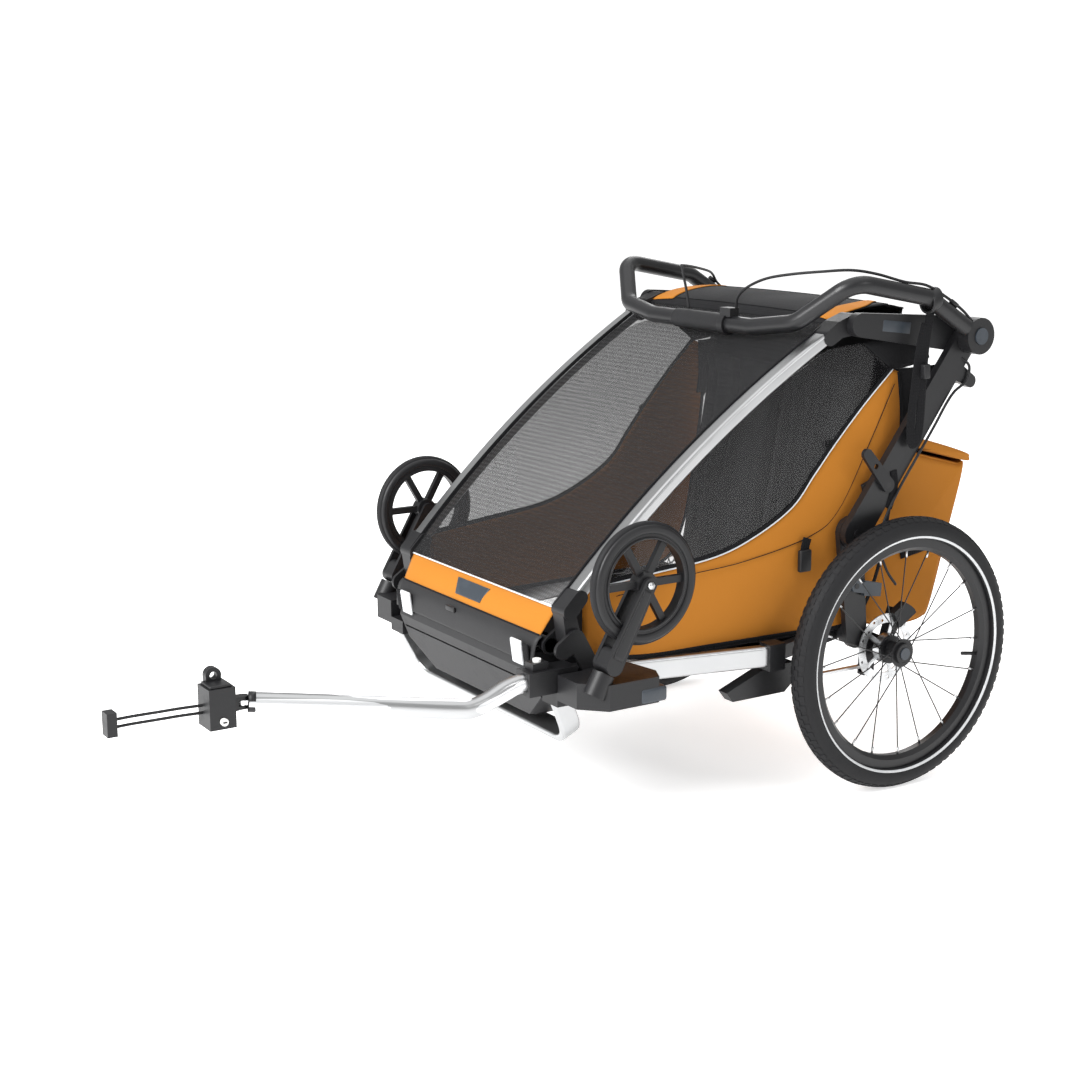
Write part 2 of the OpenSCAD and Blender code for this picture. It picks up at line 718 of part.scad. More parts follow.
module hub_button() {
    color("slategray") placed() pin([0, 0], hub_button_r, cap_out - 2.5, cap_out + 2);
}
module left_hub_button() { hub_button(); }
module right_hub_button() { mirror([1, 0, 0]) hub_button(); }

// Each spoke leaves a flange near its rim, and reaches the rim 10 degrees further round
module spoke_set() {
    spoke_turn = 34;
    color("black") placed() for (i = [0 : spokes - 1]) {
        a = i * 360 / spokes;
        inner = i % 2 == 0;
        lean = (floor(i / 2) % 2 == 0 ? 1 : -1) * spoke_turn;
        x = (inner ? flange_a : flange_b) + flange_t / 2;
        along([x, (flange_r - 3) * cos(a + lean), (flange_r - 3) * sin(a + lean)],
            [wheel_x + (inner ? -3 : 3), (rim_in_r + 2) * cos(a), (rim_in_r + 2) * sin(a)], [1, 0, 0])
            cylinder(d = spoke_d, h = norm([x - wheel_x - (inner ? -3 : 3),
                (flange_r - 3) * cos(a + lean) - (rim_in_r + 2) * cos(a),
                (flange_r - 3) * sin(a + lean) - (rim_in_r + 2) * sin(a)]), $fn = 16);
    }
}
module left_spokes() { spoke_set(); }
module right_spokes() { mirror([1, 0, 0]) spoke_set(); }

module ring_about_axle() { rotate([0, 90, 0]) rotate_extrude($fn = 120) children(); }

module rim() {
    color("black") placed() translate([wheel_x, 0, 0]) ring_about_axle()
        polygon([[rim_in_r, -6], [rim_in_r, 6], [rim_in_r + 7, rim_w / 2], [rim_out_r, rim_w / 2],
            [rim_out_r, -rim_w / 2], [rim_in_r + 7, -rim_w / 2]]);
}
module left_rim() { rim(); }
module right_rim() { mirror([1, 0, 0]) rim(); }

module tyre() {
    color("black") placed() translate([wheel_x, 0, 0]) ring_about_axle() difference() {
        translate([wheel_r - tyre_w / 2, 0]) circle(tyre_w / 2);
        translate([0, -tyre_w]) square([rim_out_r + 0.3, 2 * tyre_w]);
    }
}
module left_tyre() { tyre(); }
module right_tyre() { mirror([1, 0, 0]) tyre(); }

// ---- stroller wheels ----
caster_axle_r = 4;
module fork() {
    color("black") placed() {
        along(fork_base(0.5 - peg_l), fork_base(1), [1, 0, 0]) cylinder(r = peg_r, h = peg_l + 0.5);
        // root block, joining two legs
        link(fork_in - 1, fork_out + 1, fork_root + [-5, -8.5], fork_root + [2, 5], 15, 14);
        for (x = [fork_in - fork_leg_t, fork_out])
            link(x, x + fork_leg_t, fork_root + [-4, -8], caster_at, 16, 12);
        pin(caster_at, caster_axle_r, fork_in - 1, fork_out + 1);
    }
}
module left_fork() { fork(); }
module right_fork() { mirror([1, 0, 0]) fork(); }

module stroller_wheel() {
    r = caster_d / 2;
    color("black") placed() translate([caster_x, caster_at[0], caster_at[1]]) {
        // tyre
        ring_about_axle() translate([r - 8, 0]) intersection() {
            round_rect(16, caster_w, 6);
            translate([-6.5, -caster_w]) square([20, 2 * caster_w]);
        }
        difference() {
            union() {
                ring_about_axle() translate([r - 24, -caster_w / 2 + 3]) square([9, caster_w - 6]);
                translate([-caster_w / 2, 0, 0]) rotate([0, 90, 0]) cylinder(r = 19, h = caster_w);
                for (i = [0 : 5]) rotate([i * 60, 0, 0]) translate([-5, 12, -6])
                    cube([10, r - 34, 12]);
            }
            translate([-caster_w, 0, 0]) rotate([0, 90, 0])
                cylinder(r = caster_axle_r + run_gap, h = 2 * caster_w);
        }
    }
}
module left_stroller_wheel() { stroller_wheel(); }
module right_stroller_wheel() { mirror([1, 0, 0]) stroller_wheel(); }

// ---- hitch ----
tongue_t = 8;
module hitch_arm() {
    away = unit(arm_bend_b - arm_front);
    color("silver") placed() difference() {
        union() {
            pipe([arm_in, arm_bend_a, arm_bend_b, arm_front], 45, [0, 0.1, 1]) circle(arm_d / 2);
            // flat tongue at the front end
            translate(yaw_at - [0, 0, tongue_t / 2]) {
                cylinder(r = clevis_r, h = tongue_t);
                rotate([0, 0, atan2(away[1], away[0])]) translate([0, 1 - clevis_r, 0.3])
                    cube([22, 2 * clevis_r - 2, tongue_t - 0.6]);
            }
        }
        translate(yaw_at - [0, 0, tongue_t]) cylinder(r = yaw_r + run_gap, h = 2 * tongue_t);
    }
}

latch_r = 7;
latch_y = -front_reach - 65;
module arm_receptacle() {
    y0 = -front_reach;
    top = arm_z + arm_d / 2;
    color("black") placed() difference() {
        union() {
            translate([arm_x - arm_d / 2 - 6, y0 - 92, arm_z - arm_d / 2 - 5])
                cube([arm_d + 12, 94, arm_d + 10]);
            translate([arm_x - 12, latch_y - 15, top + 4]) cube([24, 30, 14]);
        }
        translate([arm_x, y0 - 93, arm_z]) rotate([-90, 0, 0]) cylinder(d = arm_d + 0.2, h = 97);
        translate([arm_x, latch_y, top + 6]) cylinder(r = latch_r + 0.4, h = 20);
    }
}
module arm_button() {
    color("white") placed() translate([arm_x, latch_y, arm_z + arm_d / 2 + 12])
        cylinder(r = latch_r, h = 11);
}

// Clevis on the arm's tongue, with a spigot on which the hitch block rolls
cheek_t = 6;
web_t = 7;
module hitch_connector() {
    half = tongue_t / 2 + side_gap + cheek_t;
    web_y = yaw_at[1] - clevis_r - 1 - web_t;
    color("black") placed() {
        for (z = [-half, half - cheek_t]) translate(yaw_at + [0, 0, z]) {
            cylinder(r = clevis_r, h = cheek_t);
            translate([0.1 - clevis_r, web_y - yaw_at[1] + 1, 0])
                cube([2 * clevis_r - 0.2, clevis_r + web_t, cheek_t]);
        }
        translate(yaw_at - [0, 0, half - 1]) cylinder(r = yaw_r, h = 2 * half - 2);
        translate([yaw_at[0] - clevis_r, web_y, yaw_at[2] - half - 0.5])
            cube([2 * clevis_r, web_t, 2 * half + 1]);
        translate([yaw_at[0], web_y + 1, yaw_at[2]]) rotate([90, 0, 0]) cylinder(r = spigot_r, h = 15);
    }
}

// The block hangs on the end of the bicycle's axle, by a lug with a bore
lug_t = 14;
knob_r = 6;
knob_pin_r = 3;
knob_at = block_at + [block_size[0] / 2, 0, -20];
module hitch_block() {
    lug_x = block_at[0] - block_size[0] / 2;
    axle_at = [block_at[1], block_at[2] + 46];
    rear = block_at[1] + block_size[1] / 2;
    color("black") placed() difference() {
        union() {
            translate(block_at - block_size / 2) cube(block_size);
            link(lug_x + 0.01, lug_x + lug_t, axle_at, axle_at - [0, 20], 13, 12);
        }
        pin(axle_at, bike_axle_d / 2 + 0.2, lug_x - 1, lug_x + lug_t + 1);
        translate([yaw_at[0], rear + 1, yaw_at[2]]) rotate([90, 0, 0])
            cylinder(r = spigot_r + run_gap, h = 15);
        translate(knob_at - [5, 0, 0]) rotate([0, 90, 0]) cylinder(r = knob_pin_r + run_gap, h = 6);
    }
}
module lock_knob() {
    color("white") placed() translate(knob_at) rotate([0, 90, 0]) {
        translate([0, 0, side_gap]) cylinder(r = knob_r, h = 6);
        translate([0, 0, -4]) cylinder(r = knob_pin_r, h = 5);
    }
}

cord_r = 2.5;
hook_l = 16;
module safety_cords() {
    y0 = front_most;
    color("black") placed() for (dz = [0, 12])
        translate([0, 0, dz]) cord([[112, y0 + 6, 30], [111, y0 - 34, 31], [110, y0 - 74, 31],
            [109, y0 - 114, 31], [108, y0 - cord_l - 4, 30]], cord_r, 3);
}
module safety_hook() {
    color("black") placed() translate([96, front_most - cord_l - hook_l, 18]) cube([24, hook_l, 38]);
}

side_rails();
front_crossbar();
front_hoop();
front_brackets();
footwell();
axle_beam();
uprights();
cabin_floor();
seat_base();
seat_back();
harness();
side_panels();
front_cover();
roof();
back_panel();
cargo_bag();
bag_lid();
arm_receptacle();
leaf_springs();
pillars();
pillar_knuckles();
top_brackets();
struts();
lower_cables();
left_lock_lever();
right_lock_lever();
handlebar();
handlebar_fittings();
upper_cables();
wrist_strap();
left_handlebar_button();
right_handlebar_button();
brake_sleeve();
left_swing_arm();
right_swing_arm();
left_rotor();
right_rotor();
left_tyre();
right_tyre();
left_rim();
right_rim();
left_spokes();
right_spokes();
left_hub();
right_hub();
left_hub_button();
right_hub_button();
left_fork();
right_fork();
left_stroller_wheel();
right_stroller_wheel();
hitch_arm();
arm_button();
hitch_connector();
hitch_block();
lock_knob();
safety_cords();
safety_hook();
parking_pedal();
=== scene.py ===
"""The child bicycle trailer's fabrics, trims and finishes, laid over its CAD frame."""
import math

import bmesh
import bpy
import numpy as np
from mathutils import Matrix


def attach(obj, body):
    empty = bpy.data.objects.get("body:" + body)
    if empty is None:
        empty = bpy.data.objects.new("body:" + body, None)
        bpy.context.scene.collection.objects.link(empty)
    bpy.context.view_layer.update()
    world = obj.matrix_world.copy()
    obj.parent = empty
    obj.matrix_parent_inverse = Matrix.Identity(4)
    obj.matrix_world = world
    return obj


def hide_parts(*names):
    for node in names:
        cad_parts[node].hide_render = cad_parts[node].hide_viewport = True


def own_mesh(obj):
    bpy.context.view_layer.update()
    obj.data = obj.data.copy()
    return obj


bl_info = {
    "name": "Bicycle trailer fabrics and finishes",
    "version": (1, 0, 0),
    "blender": (4, 5, 0),
    "location": "View3D > Sidebar > Trailer",
    "description": "Dresses the child bicycle trailer's frame in fabric, trim and finishes",
    "category": "Object",
}

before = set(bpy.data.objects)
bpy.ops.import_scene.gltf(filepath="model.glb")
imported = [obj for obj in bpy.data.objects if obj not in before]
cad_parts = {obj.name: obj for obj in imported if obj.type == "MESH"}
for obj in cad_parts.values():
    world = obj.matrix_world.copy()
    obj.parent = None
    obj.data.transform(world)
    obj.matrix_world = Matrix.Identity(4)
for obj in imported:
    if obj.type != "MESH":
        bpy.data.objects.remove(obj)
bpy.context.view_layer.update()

# The wheel axle's place in the row frame, in metres; shapes below are in millimetres from it
AXLE = np.array([0.0, 0.4825, 0.25])
WHEEL_X = 366.0
SIDES = ((1, "left"), (-1, "right"))
# A box's six faces, its corners numbered by x, then y, then z
BOX_FACES = [[0, 1, 3, 2], [4, 6, 7, 5], [0, 4, 5, 1], [2, 3, 7, 6], [0, 2, 6, 4], [1, 5, 7, 3]]
# A tyre's round section and the circle through its middle
TYRE_SECTION, TYRE_MIDDLE = 23.5, 226.5


# ---- shapes ----
def place(points):
    """Millimetres from the wheel axle, turned into metres in the row frame."""
    return np.asarray(points, float) / 1000.0 + AXLE


def arc_points(u, off):
    """The pillars' arc: centre plus (radius + off) times (cos a, sin a), a running from high to low."""
    low, high, bow = np.array([-662.0, 148.0]), np.array([-112.0, 584.0]), 28.0
    chord = high - low
    length = np.linalg.norm(chord)
    side = np.array([-chord[1], chord[0]]) / length
    radius = length**2 / (8 * bow) + bow / 2
    centre = (low + high) / 2 - side * (radius - bow)
    a0, a1 = (math.atan2(*(p - centre)[::-1]) for p in (high, low))
    a = a0 + (a1 - a0) * np.asarray(u, float)
    r = radius + np.asarray(off, float)
    return np.stack([centre[0] + r * np.cos(a), centre[1] + r * np.sin(a)], -1)


def along(knots, n):
    """n points at equal steps of knot number along a smooth curve through the knots (Catmull-Rom)."""
    k = np.asarray(knots, float)
    k = np.concatenate([k[:1] * 2 - k[1:2], k, k[-1:] * 2 - k[-2:-1]])
    s = np.linspace(0, len(k) - 3, n)
    i = np.minimum(s.astype(int), len(k) - 4)
    t = (s - i)[:, None]
    a, b, c, d = k[i], k[i + 1], k[i + 2], k[i + 3]
    return 0.5 * (2 * b + (c - a) * t + (2 * a - 5 * b + 4 * c - d) * t**2 + (3 * b - a - 3 * c + d) * t**3)


def build(name, verts, faces, material, closed=True):
    """An object from place()d vertices; a closed one gets its faces turned outward."""
    mesh = bpy.data.meshes.new(name)
    mesh.from_pydata(np.asarray(verts).tolist(), [], [list(f) for f in faces])
    if closed:
        bm = bmesh.new()
        bm.from_mesh(mesh)
        bmesh.ops.recalc_face_normals(bm, faces=bm.faces)
        bm.to_mesh(mesh)
        bm.free()
    mesh.polygons.foreach_set("use_smooth", [True] * len(mesh.polygons))
    mesh.materials.append(material)
    obj = bpy.data.objects.new(name, mesh)
    bpy.context.scene.collection.objects.link(obj)
    return obj


def quads(n, m, wrap=False):
    """Quads over an n by m grid of points, wrapped round its second way if asked."""
    cols = m if wrap else m - 1
    i, j = np.meshgrid(np.arange(n - 1), np.arange(cols), indexing="ij")
    k = (j + 1) % m
    return np.stack([i * m + j, i * m + k, (i + 1) * m + k, (i + 1) * m + j], -1).reshape(-1, 4)


def cloth(name, grid, material, thick=1.6):
    """A sheet over a grid of points, given its thickness by Solidify."""
    n, m = grid.shape[:2]
    obj = build(name, place(grid.reshape(-1, 3)), quads(n, m), material, closed=False)
    solid = obj.modifiers.new("thickness", "SOLIDIFY")
    solid.thickness, solid.offset = thick / 1000, 0
    return obj


def tube(name, path, profile, hint, material, loop=False):
    """A profile carried along a path: path + side * profile x + up * profile y, with flat ends."""
    p = np.asarray(path, float)
    t = np.roll(p, -1, 0) - np.roll(p, 1, 0) if loop else np.gradient(p, axis=0)
    t /= np.linalg.norm(t, axis=1, keepdims=True)
    side = np.cross(t, np.asarray(hint, float))
    side /= np.linalg.norm(side, axis=1, keepdims=True)
    up = np.cross(side, t)
    q = np.asarray(profile, float)
    rings = p[:, None] + side[:, None] * q[None, :, :1] + up[:, None] * q[None, :, 1:]
    n, m = len(p), len(q)
    faces = quads(n, m, wrap=True).tolist()
    if loop:
        last = (n - 1) * m
        faces += [[last + j, last + (j + 1) % m, (j + 1) % m, j] for j in range(m)]
    else:
        faces += [list(range(m)), list(range((n - 1) * m, n * m))]
    return build(name, place(rings.reshape(-1, 3)), faces, material)


def round_profile(w, h, power=2.0, n=16):
    """A rounded section: w/2 and h/2 times the cosine and sine, each to the power 2/power."""
    a = np.arange(n) * 2 * math.pi / n
    c, s = np.cos(a), np.sin(a)
    f = 2.0 / power
    return np.stack([w / 2 * np.sign(c) * np.abs(c) ** f, h / 2 * np.sign(s) * np.abs(s) ** f], -1)


def ruled(low, high, n, m, x_of, bulge):
    """A surface between two curves in (y, z): (1 - v) low + v high, bulging out in the middle."""
    a, b = along(low, n), along(high, n)
    v = np.linspace(0, 1, m)
    yz = a[:, None] * (1 - v)[None, :, None] + b[:, None] * v[None, :, None]
    s = np.sin(np.linspace(0, 1, n) * math.pi)[:, None] ** 0.5 * np.sin(v * math.pi)[None, :]
    x = x_of(yz[..., 0]) + bulge * s
    return np.concatenate([x[..., None], yz], -1)


def lofted(name, outline, half, edge, crown, material, n=40, m=72):
    """A closed outline in (y, z) carried across from -half to half; near each end it shrinks
    towards its centre by edge * (1 - sqrt(1 - t^2)), and its middle swells by crown."""
    ring = along(np.concatenate([outline, outline[:1]]), m + 1)[:-1]
    centre = ring.mean(0)
    u = np.sin(np.linspace(-1, 1, n) * math.pi / 2)
    x = u * half
    t = np.clip((np.abs(x) - (half - edge)) / edge, 0, 1)
    shrink = edge * (1 - np.sqrt(1 - np.minimum(t, 0.9995) ** 2))
    arm = ring - centre
    size = np.linalg.norm(arm, axis=1)
    grow = (-shrink[:, None] + crown * (1 - u**2)[:, None]) / size[None, :]
    yz = centre + arm[None] * (1 + np.maximum(grow, -0.97))[..., None]
    pts = np.concatenate([np.broadcast_to(x[:, None, None], (n, m, 1)), yz], -1).reshape(-1, 3)
    ends = np.array([[-half, *centre], [half, *centre]])
    faces = quads(n, m, wrap=True).tolist()
    faces += [[n * m, (j + 1) % m, j] for j in range(m)]
    faces += [[n * m + 1, (n - 1) * m + j, (n - 1) * m + (j + 1) % m] for j in range(m)]
    return build(name, place(np.concatenate([pts, ends])), faces, material)


def slab(name, centre, size, turn, material, bevel=1.5):
    """A small block with bevelled edges, turned about X by turn degrees."""
    w = np.array([[x, y, z] for x in (-1, 1) for y in (-1, 1) for z in (-1, 1)], float) * np.asarray(size) / 2
    c, s = math.cos(math.radians(turn)), math.sin(math.radians(turn))
    w = np.stack([w[:, 0], w[:, 1] * c - w[:, 2] * s, w[:, 1] * s + w[:, 2] * c], -1) + np.asarray(centre)
    obj = build(name, place(w), BOX_FACES, material)
    mod = obj.modifiers.new("soft edges", "BEVEL")
    mod.width, mod.segments = bevel / 1000, 3
    return obj


def flipped(points, side):
    """The same points on the trailer's other side, when side is -1."""
    return np.asarray(points, float) * np.array([side, 1, 1])


def on(obj, body, *nodes):
    """Rides on a body, and stands for CAD nodes."""
    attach(obj, body)
    if nodes:
        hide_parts(*nodes)
    return obj


# ---- shared effects ----
def group(name, inputs, outputs):
    """An empty node group with named sockets."""
    g = bpy.data.node_groups.new(name, "ShaderNodeTree")
    for label, kind, value in inputs:
        s = g.interface.new_socket(name=label, in_out="INPUT", socket_type="NodeSocket" + kind)
        if value is not None:
            s.default_value = value
    for label, kind in outputs:
        g.interface.new_socket(name=label, in_out="OUTPUT", socket_type="NodeSocket" + kind)
    return g, g.nodes.new("NodeGroupInput"), g.nodes.new("NodeGroupOutput")


def node(tree, kind, values=(), **settings):
    """A node with its settings, and the values of its inputs."""
    n = tree.nodes.new("ShaderNode" + kind)
    for key, value in settings.items():
        setattr(n, key, value)
    for key, value in dict(values).items():
        n.inputs[key].default_value = value
    return n


def maths(tree, operation, a, b=0.0):
    """A Math node fed by sockets or numbers."""
    n = node(tree, "Math", operation=operation)
    for i, v in enumerate((a, b)):
        if hasattr(v, "links"):
            tree.links.new(v, n.inputs[i])
        else:
            n.inputs[i].default_value = v
    return n.outputs[0]


def blend_colour(tree, factor, a, b):
    """A colour mix between two sockets or colours."""
    n = node(tree, "Mix", data_type="RGBA")
    for key, v in ((0, factor), (6, a), (7, b)):
        if hasattr(v, "links"):
            tree.links.new(v, n.inputs[key])
        else:
            n.inputs[key].default_value = v
    return n.outputs[2]


def weave_group():
    """Woven cloth: crossing threads in three directions, slubs, and slow shading from handling."""
    g, gi, go = group("Woven threads", [("Vector", "Vector", None), ("Colour", "Color", (0.5, 0.5, 0.5, 1)),
                                        ("Pitch", "Float", 150.0), ("Shade", "Float", 0.2)],
                      [("Colour", "Color"), ("Height", "Float"), ("Roughness", "Float")])
    waves = []
    for axis in "XYZ":
        w = node(g, "TexWave", {"Distortion": 0.4, "Detail": 1.0}, wave_type="BANDS", bands_direction=axis)
        g.links.new(gi.outputs["Vector"], w.inputs["Vector"])
        g.links.new(gi.outputs["Pitch"], w.inputs["Scale"])
        waves.append(w.outputs["Fac"])
    threads = maths(g, "MAXIMUM", maths(g, "MULTIPLY", waves[0], waves[1]),
                    maths(g, "MULTIPLY", waves[1], waves[2]))
    slub = node(g, "TexNoise", {"Scale": 320.0, "Detail": 3.0})
    wear = node(g, "TexNoise", {"Scale": 7.0, "Detail": 4.0, "Roughness": 0.6})
    for n in (slub, wear):
        g.links.new(gi.outputs["Vector"], n.inputs["Vector"])
    dark = node(g, "HueSaturation", {"Value": 0.62})
    g.links.new(gi.outputs["Colour"], dark.inputs["Color"])
    amount = maths(g, "MULTIPLY", maths(g, "ADD", wear.outputs["Fac"],
                                        maths(g, "MULTIPLY", slub.outputs["Fac"], 0.7)),
                   gi.outputs["Shade"])
    g.links.new(blend_colour(g, amount, gi.outputs["Colour"], dark.outputs["Color"]), go.inputs["Colour"])
    g.links.new(maths(g, "ADD", threads, maths(g, "MULTIPLY", slub.outputs["Fac"], 0.5)), go.inputs["Height"])
    g.links.new(maths(g, "ADD", maths(g, "MULTIPLY", wear.outputs["Fac"], 0.25), 0.66),
                go.inputs["Roughness"])
    return g


def grain_group():
    """Moulded grain: fine pebbles, with scuffs that are lighter and rougher."""
    g, gi, go = group("Moulded grain", [("Vector", "Vector", None),
                                        ("Colour", "Color", (0.05, 0.05, 0.05, 1)),
                                        ("Grain", "Float", 900.0), ("Scuffs", "Float", 0.25),
                                        ("Roughness", "Float", 0.5)],
                      [("Colour", "Color"), ("Height", "Float"), ("Roughness", "Float")])
    fine = node(g, "TexVoronoi", {"Randomness": 1.0}, feature="F1")
    g.links.new(gi.outputs["Grain"], fine.inputs["Scale"])
    scuff = node(g, "TexNoise", {"Scale": 22.0, "Detail": 6.0, "Roughness": 0.72})
    for n in (fine, scuff):
        g.links.new(gi.outputs["Vector"], n.inputs["Vector"])
    mask = maths(g, "MULTIPLY", maths(g, "GREATER_THAN", scuff.outputs["Fac"], 0.56), gi.outputs["Scuffs"])
    light = node(g, "HueSaturation", {"Value": 1.9, "Saturation": 0.8})
    g.links.new(gi.outputs["Colour"], light.inputs["Color"])
    g.links.new(blend_colour(g, mask, gi.outputs["Colour"], light.outputs["Color"]), go.inputs["Colour"])
    g.links.new(fine.outputs["Distance"], go.inputs["Height"])
    g.links.new(maths(g, "ADD", gi.outputs["Roughness"], maths(g, "MULTIPLY", mask, 0.4)),
                go.inputs["Roughness"])
    return g


def brushed_group():
    """Brushed or drawn metal: long fine streaks along one axis, with slow patches of haze."""
    g, gi, go = group("Drawn metal", [("Vector", "Vector", None), ("Colour", "Color", (0.8, 0.8, 0.8, 1)),
                                      ("Roughness", "Float", 0.3)],
                      [("Colour", "Color"), ("Height", "Float"), ("Roughness", "Float")])
    stretch = node(g, "Mapping", {"Scale": (260.0, 14.0, 260.0)})
    g.links.new(gi.outputs["Vector"], stretch.inputs["Vector"])
    streak = node(g, "TexNoise", {"Scale": 4.0, "Detail": 4.0})
    haze = node(g, "TexNoise", {"Scale": 9.0, "Detail": 3.0})
    g.links.new(stretch.outputs["Vector"], streak.inputs["Vector"])
    g.links.new(gi.outputs["Vector"], haze.inputs["Vector"])
    dark = node(g, "HueSaturation", {"Value": 0.82})
    g.links.new(gi.outputs["Colour"], dark.inputs["Color"])
    g.links.new(blend_colour(g, haze.outputs["Fac"], gi.outputs["Colour"], dark.outputs["Color"]),
                go.inputs["Colour"])
    g.links.new(streak.outputs["Fac"], go.inputs["Height"])
    rough = maths(g, "ADD", gi.outputs["Roughness"], maths(g, "MULTIPLY", streak.outputs["Fac"], 0.14))
    g.links.new(rough, go.inputs["Roughness"])
    return g


EFFECTS = {}


def effect(name):
    """The shared node group of that name, built once."""
    makers = {"weave": weave_group, "grain": grain_group, "brushed": brushed_group}
    if name not in EFFECTS:
        EFFECTS[name] = makers[name]()
    return EFFECTS[name]


def finish_of(name, effect_name, colour, bump, depth, inputs=(), shader=()):
    """A material: one shared effect feeding colour, roughness and bump of a Principled shader."""
    m = bpy.data.materials.new(name)
    m.use_nodes = True
    t = m.node_tree
    b = t.nodes["Principled BSDF"]
    where = node(t, "TexCoord")
    g = node(t, "Group", node_tree=effect(effect_name))
    t.links.new(where.outputs["Object"], g.inputs["Vector"])
    g.inputs["Colour"].default_value = (*colour, 1)
    for key, value in dict(inputs).items():
        g.inputs[key].default_value = value
    height = node(t, "Bump", {"Strength": bump, "Distance": depth / 1000})
    t.links.new(g.outputs["Height"], height.inputs["Height"])
    t.links.new(height.outputs["Normal"], b.inputs["Normal"])
    t.links.new(g.outputs["Colour"], b.inputs["Base Color"])
    t.links.new(g.outputs["Roughness"], b.inputs["Roughness"])
    for key, value in dict(shader).items():
        b.inputs[key].default_value = value
    return m


def see_through(m, solid, pitch, holes):
    """Lets light through a sheet: solid less holes * (wave across * wave along)."""
    t = m.node_tree
    b = t.nodes["Principled BSDF"]
    where = node(t, "TexCoord")
    rows = []
    for axis in "XZ":
        w = node(t, "TexWave", {"Scale": pitch}, wave_type="BANDS", bands_direction=axis)
        t.links.new(where.outputs["Object"], w.inputs["Vector"])
        rows.append(w.outputs["Fac"])
    hole = maths(t, "MULTIPLY", rows[0], rows[1])
    alpha = maths(t, "SUBTRACT", solid, maths(t, "MULTIPLY", hole, holes))
    t.links.new(alpha, b.inputs["Alpha"])
    return m


# ---- settings that a user would change ----
def colour_prop(label, text, value):
    """A colour setting with its label and its help text."""
    return bpy.props.FloatVectorProperty(name=label, description=text, subtype="COLOR", size=3,
                                         min=0, max=1, default=value)


class TrailerFabric(bpy.types.PropertyGroup):
    """Colours and sizes of the cabin's fabrics."""

    main: colour_prop("Main fabric", "Side panels, lower strip and cargo bag", (0.400, 0.150, 0.018))
    dark: colour_prop("Dark fabric", "Roof, back, seats and webbing", (0.010, 0.010, 0.011))
    mesh: colour_prop("Mesh", "Front cover's mesh", (0.022, 0.022, 0.023))
    window: colour_prop("Window", "Tinted side windows", (0.012, 0.012, 0.013))
    piping: colour_prop("Piping", "Light edging that reflects", (0.62, 0.64, 0.66))
    cover_sag: bpy.props.FloatProperty(name="Cover sag", description="Dip of the cover between the pillars",
                                       default=0.010, min=0, max=0.02, unit="LENGTH")
    panel_bulge: bpy.props.FloatProperty(name="Panel bulge", description="Swell of a side panel",
                                         default=0.007, min=0, max=0.015, unit="LENGTH")
    bag_swell: bpy.props.FloatProperty(name="Bag swell", description="Swell of the cargo bag's middle",
                                       default=0.005, min=0, max=0.012, unit="LENGTH")


class TrailerFinish(bpy.types.PropertyGroup):
    """Colours of the frame's metals and plastics."""

    alloy: colour_prop("Alloy", "Rails, hoop, pillars and hitch arm", (0.47, 0.475, 0.48))
    black: colour_prop("Black plastic", "Brackets, forks, hubs and clamps", (0.008, 0.008, 0.009))
    coat: colour_prop("Black coat", "Powder-coated tubes", (0.008, 0.008, 0.009))
    tub: colour_prop("Foot tub", "Moulded tub under the feet", (0.020, 0.020, 0.021))
    slate: colour_prop("Slate accents", "Pedal, buttons and end panels", (0.024, 0.031, 0.040))
    rubber: colour_prop("Rubber", "Tyres", (0.006, 0.006, 0.007))
    white: colour_prop("White plastic", "Latch button and key lock", (0.80, 0.80, 0.78))


MATERIALS = {}


